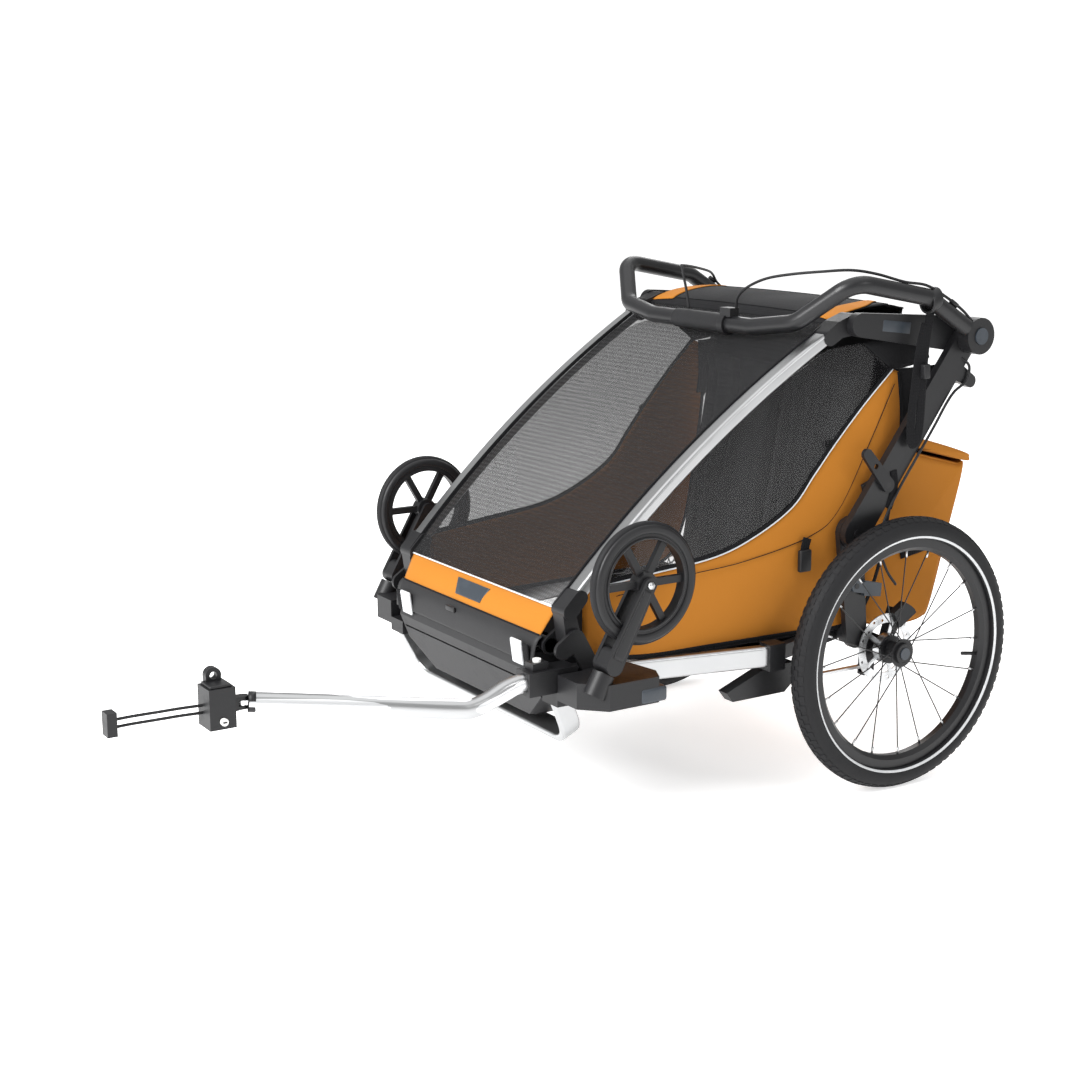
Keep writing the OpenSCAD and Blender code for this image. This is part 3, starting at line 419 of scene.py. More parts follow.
def look(name):
    """The named finish, built once from the settings."""
    if name in MATERIALS:
        return MATERIALS[name]
    f, c = bpy.context.scene.trailer_fabric, bpy.context.scene.trailer_finish
    soft = {"Sheen Weight": 0.02, "Sheen Roughness": 0.5, "Specular IOR Level": 0.12}
    table = {
        "main fabric": lambda: finish_of("main fabric", "weave", tuple(f.main), 0.10, 0.5,
                                         {"Pitch": 110.0, "Shade": 0.16}, soft),
        "dark fabric": lambda: finish_of("dark fabric", "weave", tuple(f.dark), 0.25, 0.6,
                                         {"Pitch": 95.0, "Shade": 0.25}, soft),
        "webbing": lambda: finish_of("webbing", "weave", (0.007, 0.007, 0.008), 0.5, 1.0,
                                     {"Pitch": 60.0, "Shade": 0.3}, soft),
        "piping": lambda: finish_of("piping", "weave", tuple(f.piping), 0.2, 0.4,
                                    {"Pitch": 140.0, "Shade": 0.15}, {"Metallic": 0.3}),
        "seat fabric": lambda: finish_of("seat fabric", "weave", (0.035, 0.036, 0.038), 0.3, 0.8,
                                         {"Pitch": 60.0, "Shade": 0.3}, soft),
        "front mesh": lambda: see_through(
            finish_of("front mesh", "weave", tuple(f.mesh), 0.2, 0.4, {"Pitch": 60.0, "Shade": 0.12},
                      {"Specular IOR Level": 0.2}), 0.50, 50.0, 0.18),
        "window": lambda: see_through(
            finish_of("window", "grain", tuple(f.window), 0.01, 0.05,
                      {"Grain": 60.0, "Scuffs": 0.03, "Roughness": 0.16},
                      {"Specular IOR Level": 0.4, "Coat Weight": 0.25,
                       "Coat Roughness": 0.1}), 0.38, 60.0, 0.0),
        "alloy": lambda: finish_of("alloy", "brushed", tuple(c.alloy), 0.04, 0.3, {"Roughness": 0.24},
                                   {"Metallic": 1.0}),
        "steel": lambda: finish_of("steel", "brushed", (0.62, 0.63, 0.64), 0.10, 0.3, {"Roughness": 0.22},
                                   {"Metallic": 1.0}),
        "black plastic": lambda: finish_of("black plastic", "grain", tuple(c.black), 0.12, 0.3,
                                           {"Grain": 900.0, "Scuffs": 0.10, "Roughness": 0.46},
                                           {"Specular IOR Level": 0.35}),
        "black coat": lambda: finish_of("black coat", "grain", tuple(c.coat), 0.06, 0.2,
                                        {"Grain": 1500.0, "Scuffs": 0.06, "Roughness": 0.38},
                                        {"Specular IOR Level": 0.35, "Coat Weight": 0.06,
                                         "Coat Roughness": 0.3}),
        "foot tub": lambda: finish_of("foot tub", "grain", tuple(c.tub), 0.16, 0.4,
                                      {"Grain": 500.0, "Scuffs": 0.10, "Roughness": 0.55},
                                      {"Specular IOR Level": 0.25}),
        "slate plastic": lambda: finish_of("slate plastic", "grain", tuple(c.slate), 0.10, 0.3,
                                           {"Grain": 900.0, "Scuffs": 0.15, "Roughness": 0.38}),
        "white plastic": lambda: finish_of("white plastic", "grain", tuple(c.white), 0.04, 0.2,
                                           {"Grain": 700.0, "Scuffs": 0.05, "Roughness": 0.3}),
        "tyre rubber": lambda: finish_of("tyre rubber", "grain", tuple(c.rubber), 0.20, 0.5,
                                         {"Grain": 420.0, "Scuffs": 0.10, "Roughness": 0.66},
                                         {"Specular IOR Level": 0.3}),
        "grip rubber": lambda: finish_of("grip rubber", "grain", (0.009, 0.009, 0.010), 0.3, 0.5,
                                         {"Grain": 350.0, "Scuffs": 0.08, "Roughness": 0.6},
                                         {"Specular IOR Level": 0.3}),
        "reflector": lambda: finish_of("reflector", "grain", (0.50, 0.51, 0.52), 0.5, 0.8,
                                       {"Grain": 260.0, "Scuffs": 0.1, "Roughness": 0.15},
                                       {"Coat Weight": 0.6, "Coat Roughness": 0.05}),
    }
    MATERIALS[name] = table[name]()
    return MATERIALS[name]


# The CAD nodes that stay in sight, under their finish
FINISH_OF_NODES = {
    "alloy": ["side_rails", "front_hoop", "pillars"],
    "black coat": ["front_crossbar", "handlebar", "axle_beam", "uprights", "struts", "left_spokes",
                   "right_spokes", "left_rim", "right_rim"],
    "black plastic": ["front_brackets", "pillar_knuckles", "top_brackets", "handlebar_fittings",
                      "arm_receptacle", "left_lock_lever", "right_lock_lever", "left_fork", "right_fork",
                      "hitch_connector", "hitch_block", "left_hub", "right_hub", "safety_hook",
                      "left_stroller_wheel", "right_stroller_wheel", "left_swing_arm", "right_swing_arm"],
    "foot tub": ["footwell"],
    "slate plastic": ["parking_pedal", "left_handlebar_button", "right_handlebar_button",
                      "left_hub_button", "right_hub_button"],
    "white plastic": ["arm_button", "lock_knob"],
    "steel": ["left_rotor", "right_rotor", "leaf_springs"],
    "tyre rubber": ["left_tyre", "right_tyre"],
    "grip rubber": ["brake_sleeve"],
}


# ---- pieces ----
def dress_frame():
    """Gives every CAD node that stays in sight its finish."""
    for name, nodes in FINISH_OF_NODES.items():
        for n in nodes:
            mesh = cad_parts[n].data
            mesh.materials.clear()
            mesh.materials.append(look(name))


def cover_width(u):
    """Half width of the front cover, from the top (u = 0) to the bottom (u = 1)."""
    return 270.0 - 21.0 * np.asarray(u, float)


def front_cover():
    """Mesh sheet between the pillars: x = v * half width, dipping by sag * (1 - v^2) * sin(pi u);
    below it a crowned strip in the main fabric, with light piping and a plain plate."""
    sag = bpy.context.scene.trailer_fabric.cover_sag * 1000
    u, v = np.linspace(0, 1, 60), np.linspace(-1, 1, 40)
    x = cover_width(u)[:, None] * v[None]
    off = 7.0 - sag * np.sin(u * math.pi)[:, None] * (1 - v**2)[None]
    yz = arc_points(np.broadcast_to(u[:, None], x.shape), off)
    cover = cloth("front_cover_mesh", np.concatenate([x[..., None], yz], -1), look("front mesh"), 1.2)
    on(cover, "pillar_frame", "front_cover")
    w, h = np.linspace(-1, 1, 60), np.linspace(0, 1, 14)
    half = 246.0 - 9.0 * h
    bend = 7.0 * (1 - w**8)[:, None] * np.sin(h * math.pi)[None] ** 0.7
    grid = np.stack([w[:, None] * half[None], np.broadcast_to(-665 - 26 * h, bend.shape) - 0.85 * bend,
                     np.broadcast_to(148 - 44 * h, bend.shape) + 0.52 * bend], -1)
    strip = cloth("front_strip", grid, look("main fabric"), 2.0)
    on(strip, "chassis")
    line = grid[:, 0] + [0, -1.5, 1.5]
    on(tube("front_strip_piping", line, round_profile(3.6, 3.0, n=10), [0, 0, 1], look("piping")), "chassis")
    low = grid[:, -1] + [0, -0.5, -1]
    on(tube("front_strip_hem", low, round_profile(4, 6, n=10), [0, 0, 1], look("webbing")), "chassis")
    top, bottom = np.array([[-58, 0.22], [52, 0.22]]), np.array([[-44, 0.80], [40, 0.80]])
    edge = np.concatenate([along(np.array([top[0], top[1]]), 12),
                           along(np.array([bottom[1], bottom[0]]), 12)])
    yz = np.stack([-665 - 26 * edge[:, 1] - 7.0, 148 - 44 * edge[:, 1] + 5.0], -1)
    rim = np.concatenate([edge[:, :1], yz], -1)
    back = rim + [0, 3.0, -2.0]
    n = len(rim)
    faces = [list(range(n)), list(range(2 * n - 1, n - 1, -1))]
    faces += [[i, (i + 1) % n, n + (i + 1) % n, n + i] for i in range(n)]
    plate = build("front_plain_plate", place(np.concatenate([rim, back])), faces, look("slate plastic"))
    mod = plate.modifiers.new("soft edges", "BEVEL")
    mod.width, mod.segments, mod.limit_method = 0.0012, 2, "ANGLE"
    on(plate, "chassis")
    for side, word in SIDES:
        path = np.stack([side * (cover_width(u) + 0.5), *arc_points(u, 8.5).T], -1)
        band = tube(word + "_cover_binding", path, round_profile(11, 3.5, 3, 12), [1, 0, 0], look("webbing"))
        on(band, "pillar_frame")


def panel_x(y, grow=1.5):
    """How far out a side panel stands at y: straight, and splayed by 3 degrees."""
    return 296.0 + grow - 0.0525 * (110.0 - y)


PANEL_FOOT = [(-622, 62), (-500, 46), (-361, 45), (-200, 45), (-60, 48), (-4, 120), (24, 250), (44, 396),
              (34, 500)]
WINDOW_FOOT = [(-622, 176), (-500, 188), (-361, 203), (-274, 231), (-196, 275), (-150, 328), (-104, 382),
               (-44, 446), (19, 506)]
WINDOW_HEAD = [(-618, 184), (-560, 244), (-480, 318), (-400, 386), (-320, 444), (-250, 488), (-190, 520),
               (-130, 548), (-50, 556)]


def side_panels():
    """Each side: a lower panel in the main fabric, a tinted window above it, a black shade behind,
    each the ruled surface between two curves, with piping along the window."""
    swell = bpy.context.scene.trailer_fabric.panel_bulge * 1000
    for side, word in SIDES:
        grid = flipped(ruled(PANEL_FOOT, WINDOW_FOOT, 90, 26, panel_x, swell), side)
        low = cloth(word + "_side_panel", grid, look("main fabric"), 1.8)
        on(low, "chassis", *(["side_panels"] if side == 1 else []))
        grid = flipped(ruled(WINDOW_FOOT, WINDOW_HEAD, 90, 20, panel_x, 3.0), side)
        pane = cloth(word + "_side_window", grid, look("window"), 1.0)
        on(pane, "chassis")
        foot = [(18, 505), (50, 508), (82, 514), (104, 522)]
        head = [(-50, 556), (0, 557), (52, 556), (97, 541)]
        grid = flipped(ruled(foot, head, 20, 8, panel_x, 1.5), side)
        shade = cloth(word + "_rear_shade", grid, look("dark fabric"), 2.0)
        on(shade, "chassis")
        foot, head = [(28, 396), (33, 440), (30, 505)], [(48, 398), (82, 448), (122, 508)]
        grid = flipped(ruled(foot, head, 20, 8, panel_x, 0.0) - [1.0, 0, 0], side)
        gusset = cloth(word + "_gusset", grid, look("dark fabric"), 1.6)
        on(gusset, "chassis")
        line = along(WINDOW_FOOT, 120)
        path = flipped(np.stack([panel_x(line[:, 0]) + 2.0, *line.T], -1), side)
        edge = tube(word + "_window_piping", path, round_profile(3.0, 3.0, n=8), [1, 0, 0], look("piping"))
        border = path + np.array([-side * 0.6, 0, 4.5])
        band = tube(word + "_window_border", border, round_profile(8.0, 2.6, 3, 12), [1, 0, 0],
                    look("webbing"))
        line = along([(-560, 160), (-422, 179), (-300, 190), (-161, 219),
                      (-96, 262), (-30, 380), (20, 480)], 70)
        path = flipped(np.stack([panel_x(line[:, 0]) + swell * 0.95 - 0.2, *line.T], -1), side)
        seam = tube(word + "_panel_seam", path, round_profile(1.6, 1.2, n=8), [1, 0, 0], look("dark fabric"))
        line = along(PANEL_FOOT, 120)
        path = flipped(np.stack([panel_x(line[:, 0]) + 0.6, *line.T], -1), side)
        hem = tube(word + "_panel_hem", path, round_profile(9.0, 3.4, 3, 10), [1, 0, 0], look("webbing"))
        for piece in (edge, band, seam, hem):
            on(piece, "chassis")
        for piece in (low, pane, shade, gusset, edge, band, seam, hem):
            fold_down(piece)


def fold_down(piece):
    """Gives the fabric piece its own copy of its mesh."""
    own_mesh(piece)


def roof_and_back():
    """Roof: z follows a low arch across, and the frame's line along; back: a flat sheet with seams."""
    x, v = np.linspace(-1, 1, 50), np.linspace(0, 1, 24)
    line = along([(-112, 590), (-90, 602), (-40, 613), (20, 618), (66, 610)], 24)
    grid = np.empty((50, 24, 3))
    grid[..., 0] = x[:, None] * 266
    grid[..., 1] = line[None, :, 0]
    grid[..., 2] = line[None, :, 1] + 6.0 * (1 - x**2)[:, None] * np.sin(v * math.pi)[None]
    top = cloth("roof_sheet", grid, look("dark fabric"), 2.4)
    on(top, "chassis", "roof")
    fold_down(top)
    for k, y_of in ((0, 5), (1, 18)):
        seam = tube("roof_seam_%d" % k, grid[:, y_of] + [0, 0, 1.8], round_profile(2.4, 1.6, n=8), [0, 0, 1],
                    look("webbing"))
        on(seam, "chassis")
        fold_down(seam)
    for side, word in SIDES:
        outer = [(268, -106), (268, -70), (262, -20), (222, 40)]
        inner = [(206, -100), (218, -60), (222, -10), (214, 40)]
        a, b = along(outer, 24), along(inner, 24)
        w = np.linspace(0, 1, 10)[None, :, None]
        xy = a[:, None] * (1 - w) + b[:, None] * w
        z = np.interp(xy[..., 1], line[:, 0], line[:, 1]) + 2.6
        z += 6.0 * (1 - (xy[..., 0] / 266) ** 2).clip(0) * 0.9
        patch = cloth(word + "_roof_patch", flipped(np.concatenate([xy, z[..., None]], -1), side),
                      look("main fabric"), 1.4)
        on(patch, "chassis")
        fold_down(patch)
    s = np.linspace(0, 1, 60)
    grid = np.empty((60, 40, 3))
    w = np.linspace(-1, 1, 40)
    grid[..., 0] = w[None] * 262
    grid[..., 1] = (67 - 97 * s)[:, None] + 6.0 * (np.sin(s * math.pi)[:, None] * (1 - w**2)[None])
    grid[..., 2] = (612 - 552 * s)[:, None]
    back = cloth("back_sheet", grid, look("dark fabric"), 2.2)
    on(back, "chassis", "back_panel")
    fold_down(back)
    for k in (6, 26, 44):
        seam = tube("back_seam_%d" % k, grid[k] + [0, 2.0, 0], round_profile(3.0, 3.0, n=8), [0, 0, 1],
                    look("webbing"))
        on(seam, "chassis")
        fold_down(seam)


# Side outlines of the bag and of its lid, in (y, z) millimetres from the axle
BAG_OUTLINE = [(-4, 40), (20, 24), (72, 14), (120, 10), (166, 16), (186, 40), (224, 174), (258, 300),
               (240, 309),
               (176, 326), (112, 342), (64, 343), (50, 250), (20, 130)]
LID_OUTLINE = [(60, 351), (110, 350), (188, 330), (261, 311), (268, 317), (262, 326), (200, 347), (136, 364),
               (66, 369)]


def cargo_bag():
    """The bag and its lid: a side outline carried across, drawn in at both ends and swollen between;
    piping runs round both end seams."""
    swell = bpy.context.scene.trailer_fabric.bag_swell * 1000
    bag = lofted("cargo_bag_shell", BAG_OUTLINE, 250, 16, swell, look("main fabric"))
    on(bag, "chassis", "cargo_bag")
    fold_down(bag)
    lid = lofted("bag_lid_shell", LID_OUTLINE, 252, 7, 0.8, look("main fabric"), n=32, m=60)
    on(lid, "bag_lid", "bag_lid")
    ring = along(np.array(BAG_OUTLINE + BAG_OUTLINE[:1]), 121)[:-1]
    centre = ring.mean(0)
    ring = centre + (ring - centre) * 0.985
    for side, word in SIDES:
        path = np.stack([np.full(len(ring), side * 243.0), *ring.T], -1)
        seam = tube(word + "_bag_seam", path, round_profile(3.4, 3.4, n=8), [1, 0, 0],
                    look("main fabric"), loop=True)
        on(seam, "chassis")
        fold_down(seam)
        strap = [(96, 150), (150, 158), (204, 168), (214, 190)]
        pts = np.stack([np.full(20, side * 254.0), *along(strap, 20).T], -1)
        band = tube(word + "_bag_strap", pts, round_profile(20, 2.0, 4, 12), [1, 0, 0], look("webbing"))
        on(band, "chassis")
        fold_down(band)
    path = np.stack([np.linspace(-247, 247, 60), np.full(60, 268.0), np.full(60, 314.0)], -1)
    on(tube("bag_lid_hem", path, round_profile(5, 8, 3, 12), [0, 0, 1], look("webbing")), "bag_lid")
    for side, word in SIDES:
        tab = slab(word + "_bag_tab", (side * 150, 267, 300), (24, 3, 44), -16, look("webbing"), 1.0)
        on(tab, "chassis")
        fold_down(tab)


def padded_block(name, low, high, lean, material):
    """A subdivided block between two corners, sheared in y by lean per unit of z."""
    low, high = np.asarray(low, float), np.asarray(high, float)
    bm = bmesh.new()
    bmesh.ops.create_cube(bm, size=1.0)
    bmesh.ops.subdivide_edges(bm, edges=bm.edges, cuts=11, use_grid_fill=True)
    co = np.array([v.co for v in bm.verts]) * (high - low) + (low + high) / 2
    co[:, 1] += lean * (co[:, 2] - low[2])
    faces = [[v.index for v in f.verts] for f in bm.faces]
    bm.free()
    return build(name, place(co), faces, material)


def puff(pad, cap):
    """Cloth under a little pressure, its points held to within cap metres of where they began."""
    remesh = pad.modifiers.new("remesh", "REMESH")
    remesh.mode, remesh.voxel_size = "VOXEL", 0.006
    apply_modifier(pad, remesh)
    start = np.empty(len(pad.data.vertices) * 3)
    pad.data.vertices.foreach_get("co", start)
    mod = pad.modifiers.new("air", "CLOTH")
    mod.settings.use_pressure, mod.settings.uniform_pressure_force = True, 4.0
    mod.settings.effector_weights.gravity = 0
    scene = bpy.context.scene
    for step in range(1, 21):
        scene.frame_set(step)
    evaluated = pad.evaluated_get(bpy.context.evaluated_depsgraph_get())
    end = np.empty(len(start))
    evaluated.data.vertices.foreach_get("co", end)
    pad.modifiers.remove(mod)
    scene.frame_set(1)
    move = (end - start).reshape(-1, 3)
    far = np.linalg.norm(move, axis=1, keepdims=True)
    move *= np.minimum(1, cap / np.maximum(far, 1e-9))
    pad.data.vertices.foreach_set("co", start + move.reshape(-1))
    pad.data.polygons.foreach_set("use_smooth", [True] * len(pad.data.polygons))
    sub = pad.modifiers.new("smooth", "SUBSURF")
    sub.levels = sub.render_levels = 1
    apply_modifier(pad, sub)


def apply_modifier(obj, mod):
    """Applies a modifier with its object alone selected."""
    bpy.ops.object.select_all(action="DESELECT")
    obj.select_set(True)
    bpy.context.view_layer.objects.active = obj
    bpy.ops.object.modifier_apply(modifier=mod.name)


def seats():
    """Two seats: padded bases and leaning padded backs, each blown up a little, with harness straps and
    buckles; and the cabin floor.
    """
    for side, word in SIDES:
        base = padded_block(word + "_seat_pad", (side * 116 - 106, -334, 14), (side * 116 + 106, -96, 40), 0,
                            look("seat fabric"))
        back = padded_block(word + "_back_pad", (side * 116 - 106, -70, 56),
                            (side * 116 + 106, -44, 492), 0.182,
                            look("seat fabric"))
        for pad in (base, back):
            puff(pad, 0.007)
        on(base, "chassis", *(["seat_base"] if side == 1 else []))
        on(back, "chassis", *(["seat_back"] if side == 1 else []))
        fold_down(back)
        for k in (-1, 1):
            x = side * 116 + k * 42
            line = along([(-44, 496), (-38, 440), (-60, 320), (-86, 180), (-92, 120)], 40)
            path = np.stack([x - k * np.linspace(0, 26, 40), *line.T], -1)
            strap = tube("%s_harness_%s" % (word, "ab"[k > 0]), path,
                         round_profile(24, 2.4, 4, 12), [0, 1, 0.2],
                         look("webbing"))
            on(strap, "chassis", *(["harness"] if side == 1 and k == 1 else []))
            fold_down(strap)
        clip = slab(word + "_harness_buckle", (side * 116, -92, 124), (44, 12, 46), -12,
                    look("black plastic"), 4)
        on(clip, "chassis")
        fold_down(clip)
    grid = np.empty((30, 30, 3))
    u = np.linspace(-1, 1, 30)
    grid[..., 0] = u[:, None] * 241
    grid[..., 1] = np.linspace(-519, -89, 30)[None]
    grid[..., 2] = 6 - 1.5 * (1 - u**2)[:, None]
    floor = cloth("cabin_floor_sheet", grid, look("dark fabric"), 2.0)
    on(floor, "chassis", "cabin_floor")


def wheel_trims():
    """Tyre stripe, tread blocks, spoke nipples and valves, worked out on the tyre's round section."""
    section, middle = TYRE_SECTION, TYRE_MIDDLE
    for side, word in SIDES:
        body = word + "_wheel"
        for k, face in enumerate((-1, 1)):
            a = np.linspace(0, 2 * math.pi, 145)[:-1]
            r = np.linspace(214.2, 218.4, 5)
            x = WHEEL_X + face * np.sqrt((section + 0.35) ** 2 - (middle - r) ** 2)
            grid = np.stack([np.broadcast_to(x, (144, 5)), r * np.cos(a)[:, None],
                             r * np.sin(a)[:, None]], -1)
            n, m = grid.shape[:2]
            faces = quads(n, m).tolist() + [[(n - 1) * m + j, (n - 1) * m + j + 1, j + 1,
                                             j] for j in range(m - 1)]
            stripe = build("%s_tyre_stripe_%d" % (word, k), place(flipped(grid.reshape(-1, 3), side)), faces,
                           look("reflector"), closed=False)
            if face * side < 0:
                stripe.data.flip_normals()
            mod = stripe.modifiers.new("thickness", "SOLIDIFY")
            mod.thickness, mod.offset = 0.0004, -1
            on(stripe, body)
        count, rows = 84, ((-44, -22, 0.5), (-19, 0, 0.0), (0, 19, 0.5), (22, 44, 0.0))
        step = 2 * math.pi / count
        verts, faces = [], []
        for low, high, lag in rows:
            across = np.radians([low, high])
            turn = (np.arange(count)[:, None] + lag + np.array([0.10, 0.72])[None]) * step
            for dr in (-0.4, 1.1):
                rr = middle + (section + dr) * np.cos(across)
                xx = WHEEL_X + (section + dr) * np.sin(across)
                pts = np.stack([np.broadcast_to(xx[None, None], (count, 2, 2)),
                                rr[None, None] * np.cos(turn)[..., None],
                                rr[None, None] * np.sin(turn)[..., None]], -1)
                verts.append(pts.reshape(count, 4, 3))
            base = sum(len(v) * 8 for v in verts[:-2:2])
            i = base + np.arange(count)[:, None] * 8
            faces += (i[..., None] + np.array(BOX_FACES)[None]).reshape(-1, 4).tolist()
        blocks = [np.concatenate([verts[i], verts[i + 1]], 1).reshape(-1, 3) for i in range(0, len(verts), 2)]
        tread = build(word + "_tread", place(flipped(np.concatenate(blocks), side)), faces,
                      look("tyre rubber"))
        tread.data.polygons.foreach_set("use_smooth", [False] * len(tread.data.polygons))
        on(tread, body)
        for i in range(20):
            a = math.radians(i * 18)
            x = side * (WHEEL_X + (-3 if i % 2 == 0 else 3))
            ends = [(x, r * math.cos(a), r * math.sin(a)) for r in (178.0, 184.0, 190.5)]
            nipple = tube("%s_nipple_%02d" % (word, i), ends, round_profile(4.0, 4.0, n=10), [1, 0, 0],
                          look("steel"))
            on(nipple, body)
        a = math.radians(-9)
        ends = [(side * WHEEL_X, r * math.cos(a), r * math.sin(a)) for r in (156.0, 162.0, 178.0, 191.0)]
        on(tube(word + "_valve", ends, round_profile(7, 7, n=14), [1, 0, 0], look("black plastic")), body)
        cap_x = WHEEL_X + 9.0
        ringed = np.linspace(0, 2 * math.pi, 49)[:-1]
        path = np.stack([np.full(48, side * cap_x), 17.0 * np.cos(ringed), 17.0 * np.sin(ringed)], -1)
        on(tube(word + "_hub_ring", path, round_profile(2.4, 3.2, n=10), [1, 0, 0], look("black coat"),
                loop=True),
           body)


def stroller_wheel_trims():
    """A round-shouldered tyre on each stroller wheel, and a plate and bolt on each fork leg."""
    for side, word in SIDES:
        centre = np.array([side * 368.0, -576.0, 205.0])
        a = np.linspace(0, 2 * math.pi, 97)[:-1]
        path = centre + np.stack([np.zeros(96), 90.0 * np.cos(a), 90.0 * np.sin(a)], -1)
        ring = tube(word + "_stroller_tyre", path, round_profile(25.0, 16.6, 3.0, 24), [1, 0, 0],
                    look("tyre rubber"), loop=True)
        on(ring, word + "_stroller_wheel")
        path = centre + np.stack([np.full(96, side * 9.5), 76.0 * np.cos(a), 76.0 * np.sin(a)], -1)
        on(tube(word + "_stroller_rim_edge", path, round_profile(4, 5, n=10), [1, 0, 0], look("black coat"),
                loop=True), word + "_stroller_wheel")
        root, axle = np.array([-640.0, 88.0]), np.array([-576.0, 205.0])
        line = along([root + (axle - root) * t for t in (0.02, 0.35, 0.7, 0.93)], 24)
        width = 21 - 7 * np.linspace(0, 1, 24)
        path = np.stack([np.full(24, side * 389.0), *line.T], -1)
        plate = tube(word + "_fork_plate", path, round_profile(1, 2.6, 3, 16), [1, 0, 0],
                     look("black plastic"))
        co = np.array([v.co for v in plate.data.vertices]).reshape(24, 16, 3)
        mid = co.mean(1, keepdims=True)
        co = mid + (co - mid) * np.stack([np.ones(24), width, width], -1)[:, None]
        plate.data.vertices.foreach_set("co", co.reshape(-1))
        on(plate, word + "_fork")
        bolt = [(side * 388.0, *axle), (side * 391.5, *axle)]
        on(tube(word + "_fork_bolt", bolt, round_profile(13, 13, n=6), [0, 0, 1], look("steel")),
           word + "_fork")


def frame_trims():
    """Small moulded parts on the frame: reflectors, wing end panels, plates, clips and straps."""
    for side, word in SIDES:
        items = [
            ("foot_reflector", (side * 195, -709.5, 70), (34, 6, 44), 8, "reflector", "chassis", 3),
            ("foot_pocket", (side * 222, -708.5, 70), (18, 4, 40), 8, "webbing", "chassis", 2),
            ("wing_end", (side * 368, -566, 20), (44, 52, 26), 0, "slate plastic", "chassis", 5),
            ("top_plate", (side * 317.6, 2, 584), (1.5, 66, 20), -7, "slate plastic", "top_frame", 0.5),
            ("side_buckle", (side * 300, -178, 180), (10, 26, 40), 0, "black plastic", "chassis", 3),
            ("strap_clip", (side * 303, -40, 300), (8, 22, 16), 20, "black plastic", "chassis", 2),
        ]
        for name, at, size, turn, finish, body, bevel in items:
            on(slab(word + "_" + name, at, size, turn, look(finish), bevel), body)
        line = along([(-178, 196), (-176, 208), (-172, 220)], 20)
        path = np.stack([np.full(20, side * 299.0), *line.T], -1)
        on(tube(word + "_side_strap", path, round_profile(20, 2.2, 4, 12), [1, 0, 0], look("webbing")),
           "chassis")
    path = np.stack([np.full(20, 320.5 + 13), *along([(-6, 330), (-2, 300), (-14, 262)], 20).T], -1)
    on(tube("strut_strap", path, round_profile(16, 2.0, 4, 12), [1, 0, 0], look("webbing")), "strut_frame")
    on(slab("front_clip", (-38, -705.5, 92), (30, 5, 10), 6, look("black plastic"), 2), "chassis")
    s, w = np.linspace(0, 1, 16), np.linspace(-1, 1, 40)
    line = along([(-690.5, 104), (-698, 98), (-702.5, 87), (-705, 70), (-706, 56)], 16)
    grid = np.empty((40, 16, 3))
    grid[..., 0] = w[:, None] * (244 - 4 * s)[None]
    grid[..., 1], grid[..., 2] = line[None, :, 0], line[None, :, 1]
    lip = cloth("tub_lip", grid, look("foot tub"), 2.0)
    on(lip, "chassis")
    line = along([(-655, 96), (-648, 60), (-618, 26), (-519, 7)], 16)
    grid[..., 0] = w[:, None] * 246
    grid[..., 1], grid[..., 2] = line[None, :, 0], line[None, :, 1]
    lining = cloth("foot_lining", grid, look("dark fabric"), 2.0)
    on(lining, "chassis")


UPPER_LEFT = [(98, -184, 606), (110, -190, 630), (140, -193, 650), (190, -192, 668), (240, -178, 678),
              (285, -148, 684), (318, -110, 687), (334, -66, 680), (344, -10, 665), (348, 40, 657),
              (350, 88, 634), (352, 126, 610), (352, 152, 588)]
UPPER_RIGHT = [(-40, -186, 600), (-42, -191, 632), (-46, -196, 662), (-56, -192, 676), (-80, -172, 676),
               (-180, -70, 664), (-290, 50, 646), (-336, 98, 634), (-346, 116, 618), (-350, 136, 603),
               (-352, 152, 588)]
LOWER = [(331, 150, 522), (336, 166, 506), (336, 160, 480), (336, 132, 462), (336, 112, 440), (336, 84, 400),
         (336, 42, 344), (336, 4, 292), (336, -26, 240), (335, -34, 196), (334, -14, 150), (330, 14, 118)]


def line_cord(name, knots, diameter, material, body):
    """A round cord through its knots."""
    path = along(knots, 14 * (len(knots) - 1) + 1)
    obj = tube(name, path, round_profile(diameter, diameter, n=12), [0.31, 0.57, 0.76], look(material))
    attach(obj, body)
    return obj


def cables_and_straps():
    """Brake cables in smooth arcs, clips on the bar, and the wrist strap's hanging loop."""
    left = line_cord("upper_cable_left", UPPER_LEFT, 5.0, "grip rubber", "handlebar")
    line_cord("upper_cable_right", UPPER_RIGHT, 5.0, "grip rubber", "handlebar")
    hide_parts("upper_cables")
    for side, word in SIDES:
        knots = flipped(LOWER, side)
        piece = line_cord("lower_cable_" + word, knots, 5.0, "grip rubber", "strut_frame")
        if side == 1:
            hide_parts("lower_cables")
        clip = [(side * 349, 100, 627), (side * 349.5, 114, 618)]
        on(tube(word + "_cable_clip", clip, round_profile(9, 9, n=14), [1, 0, 0], look("black plastic")),
           "handlebar")
    loop = [(344.5, 56, 612), (344.5, 48, 560), (344.5, 44, 500), (344.5, 42, 420), (344.5, 36, 384),
            (344.5, 24, 380), (344.5, 20, 410), (344.5, 26, 480), (344.5, 34, 545), (344.5, 45, 590)]
    path = along(loop, 110)
    strap = tube("wrist_loop", path, round_profile(20, 2.4, 4, 12), [1, 0, 0.01], look("webbing"))
    on(strap, "handlebar", "wrist_strap")
    on(slab("wrist_buckle", (344.5, 44, 506), (24, 14, 26), 4, look("black plastic"), 2), "handlebar")
    a = np.linspace(0, 2 * math.pi, 41)[:-1]
    ring = np.stack([344.5 + 17.5 * np.cos(a), np.full(40, 56.0), 630 + 19.0 * np.sin(a)], -1)
    on(tube("wrist_clamp", ring, round_profile(5, 22, 4, 14), [0, 1, 0.3], look("black plastic"), loop=True),
       "handlebar")


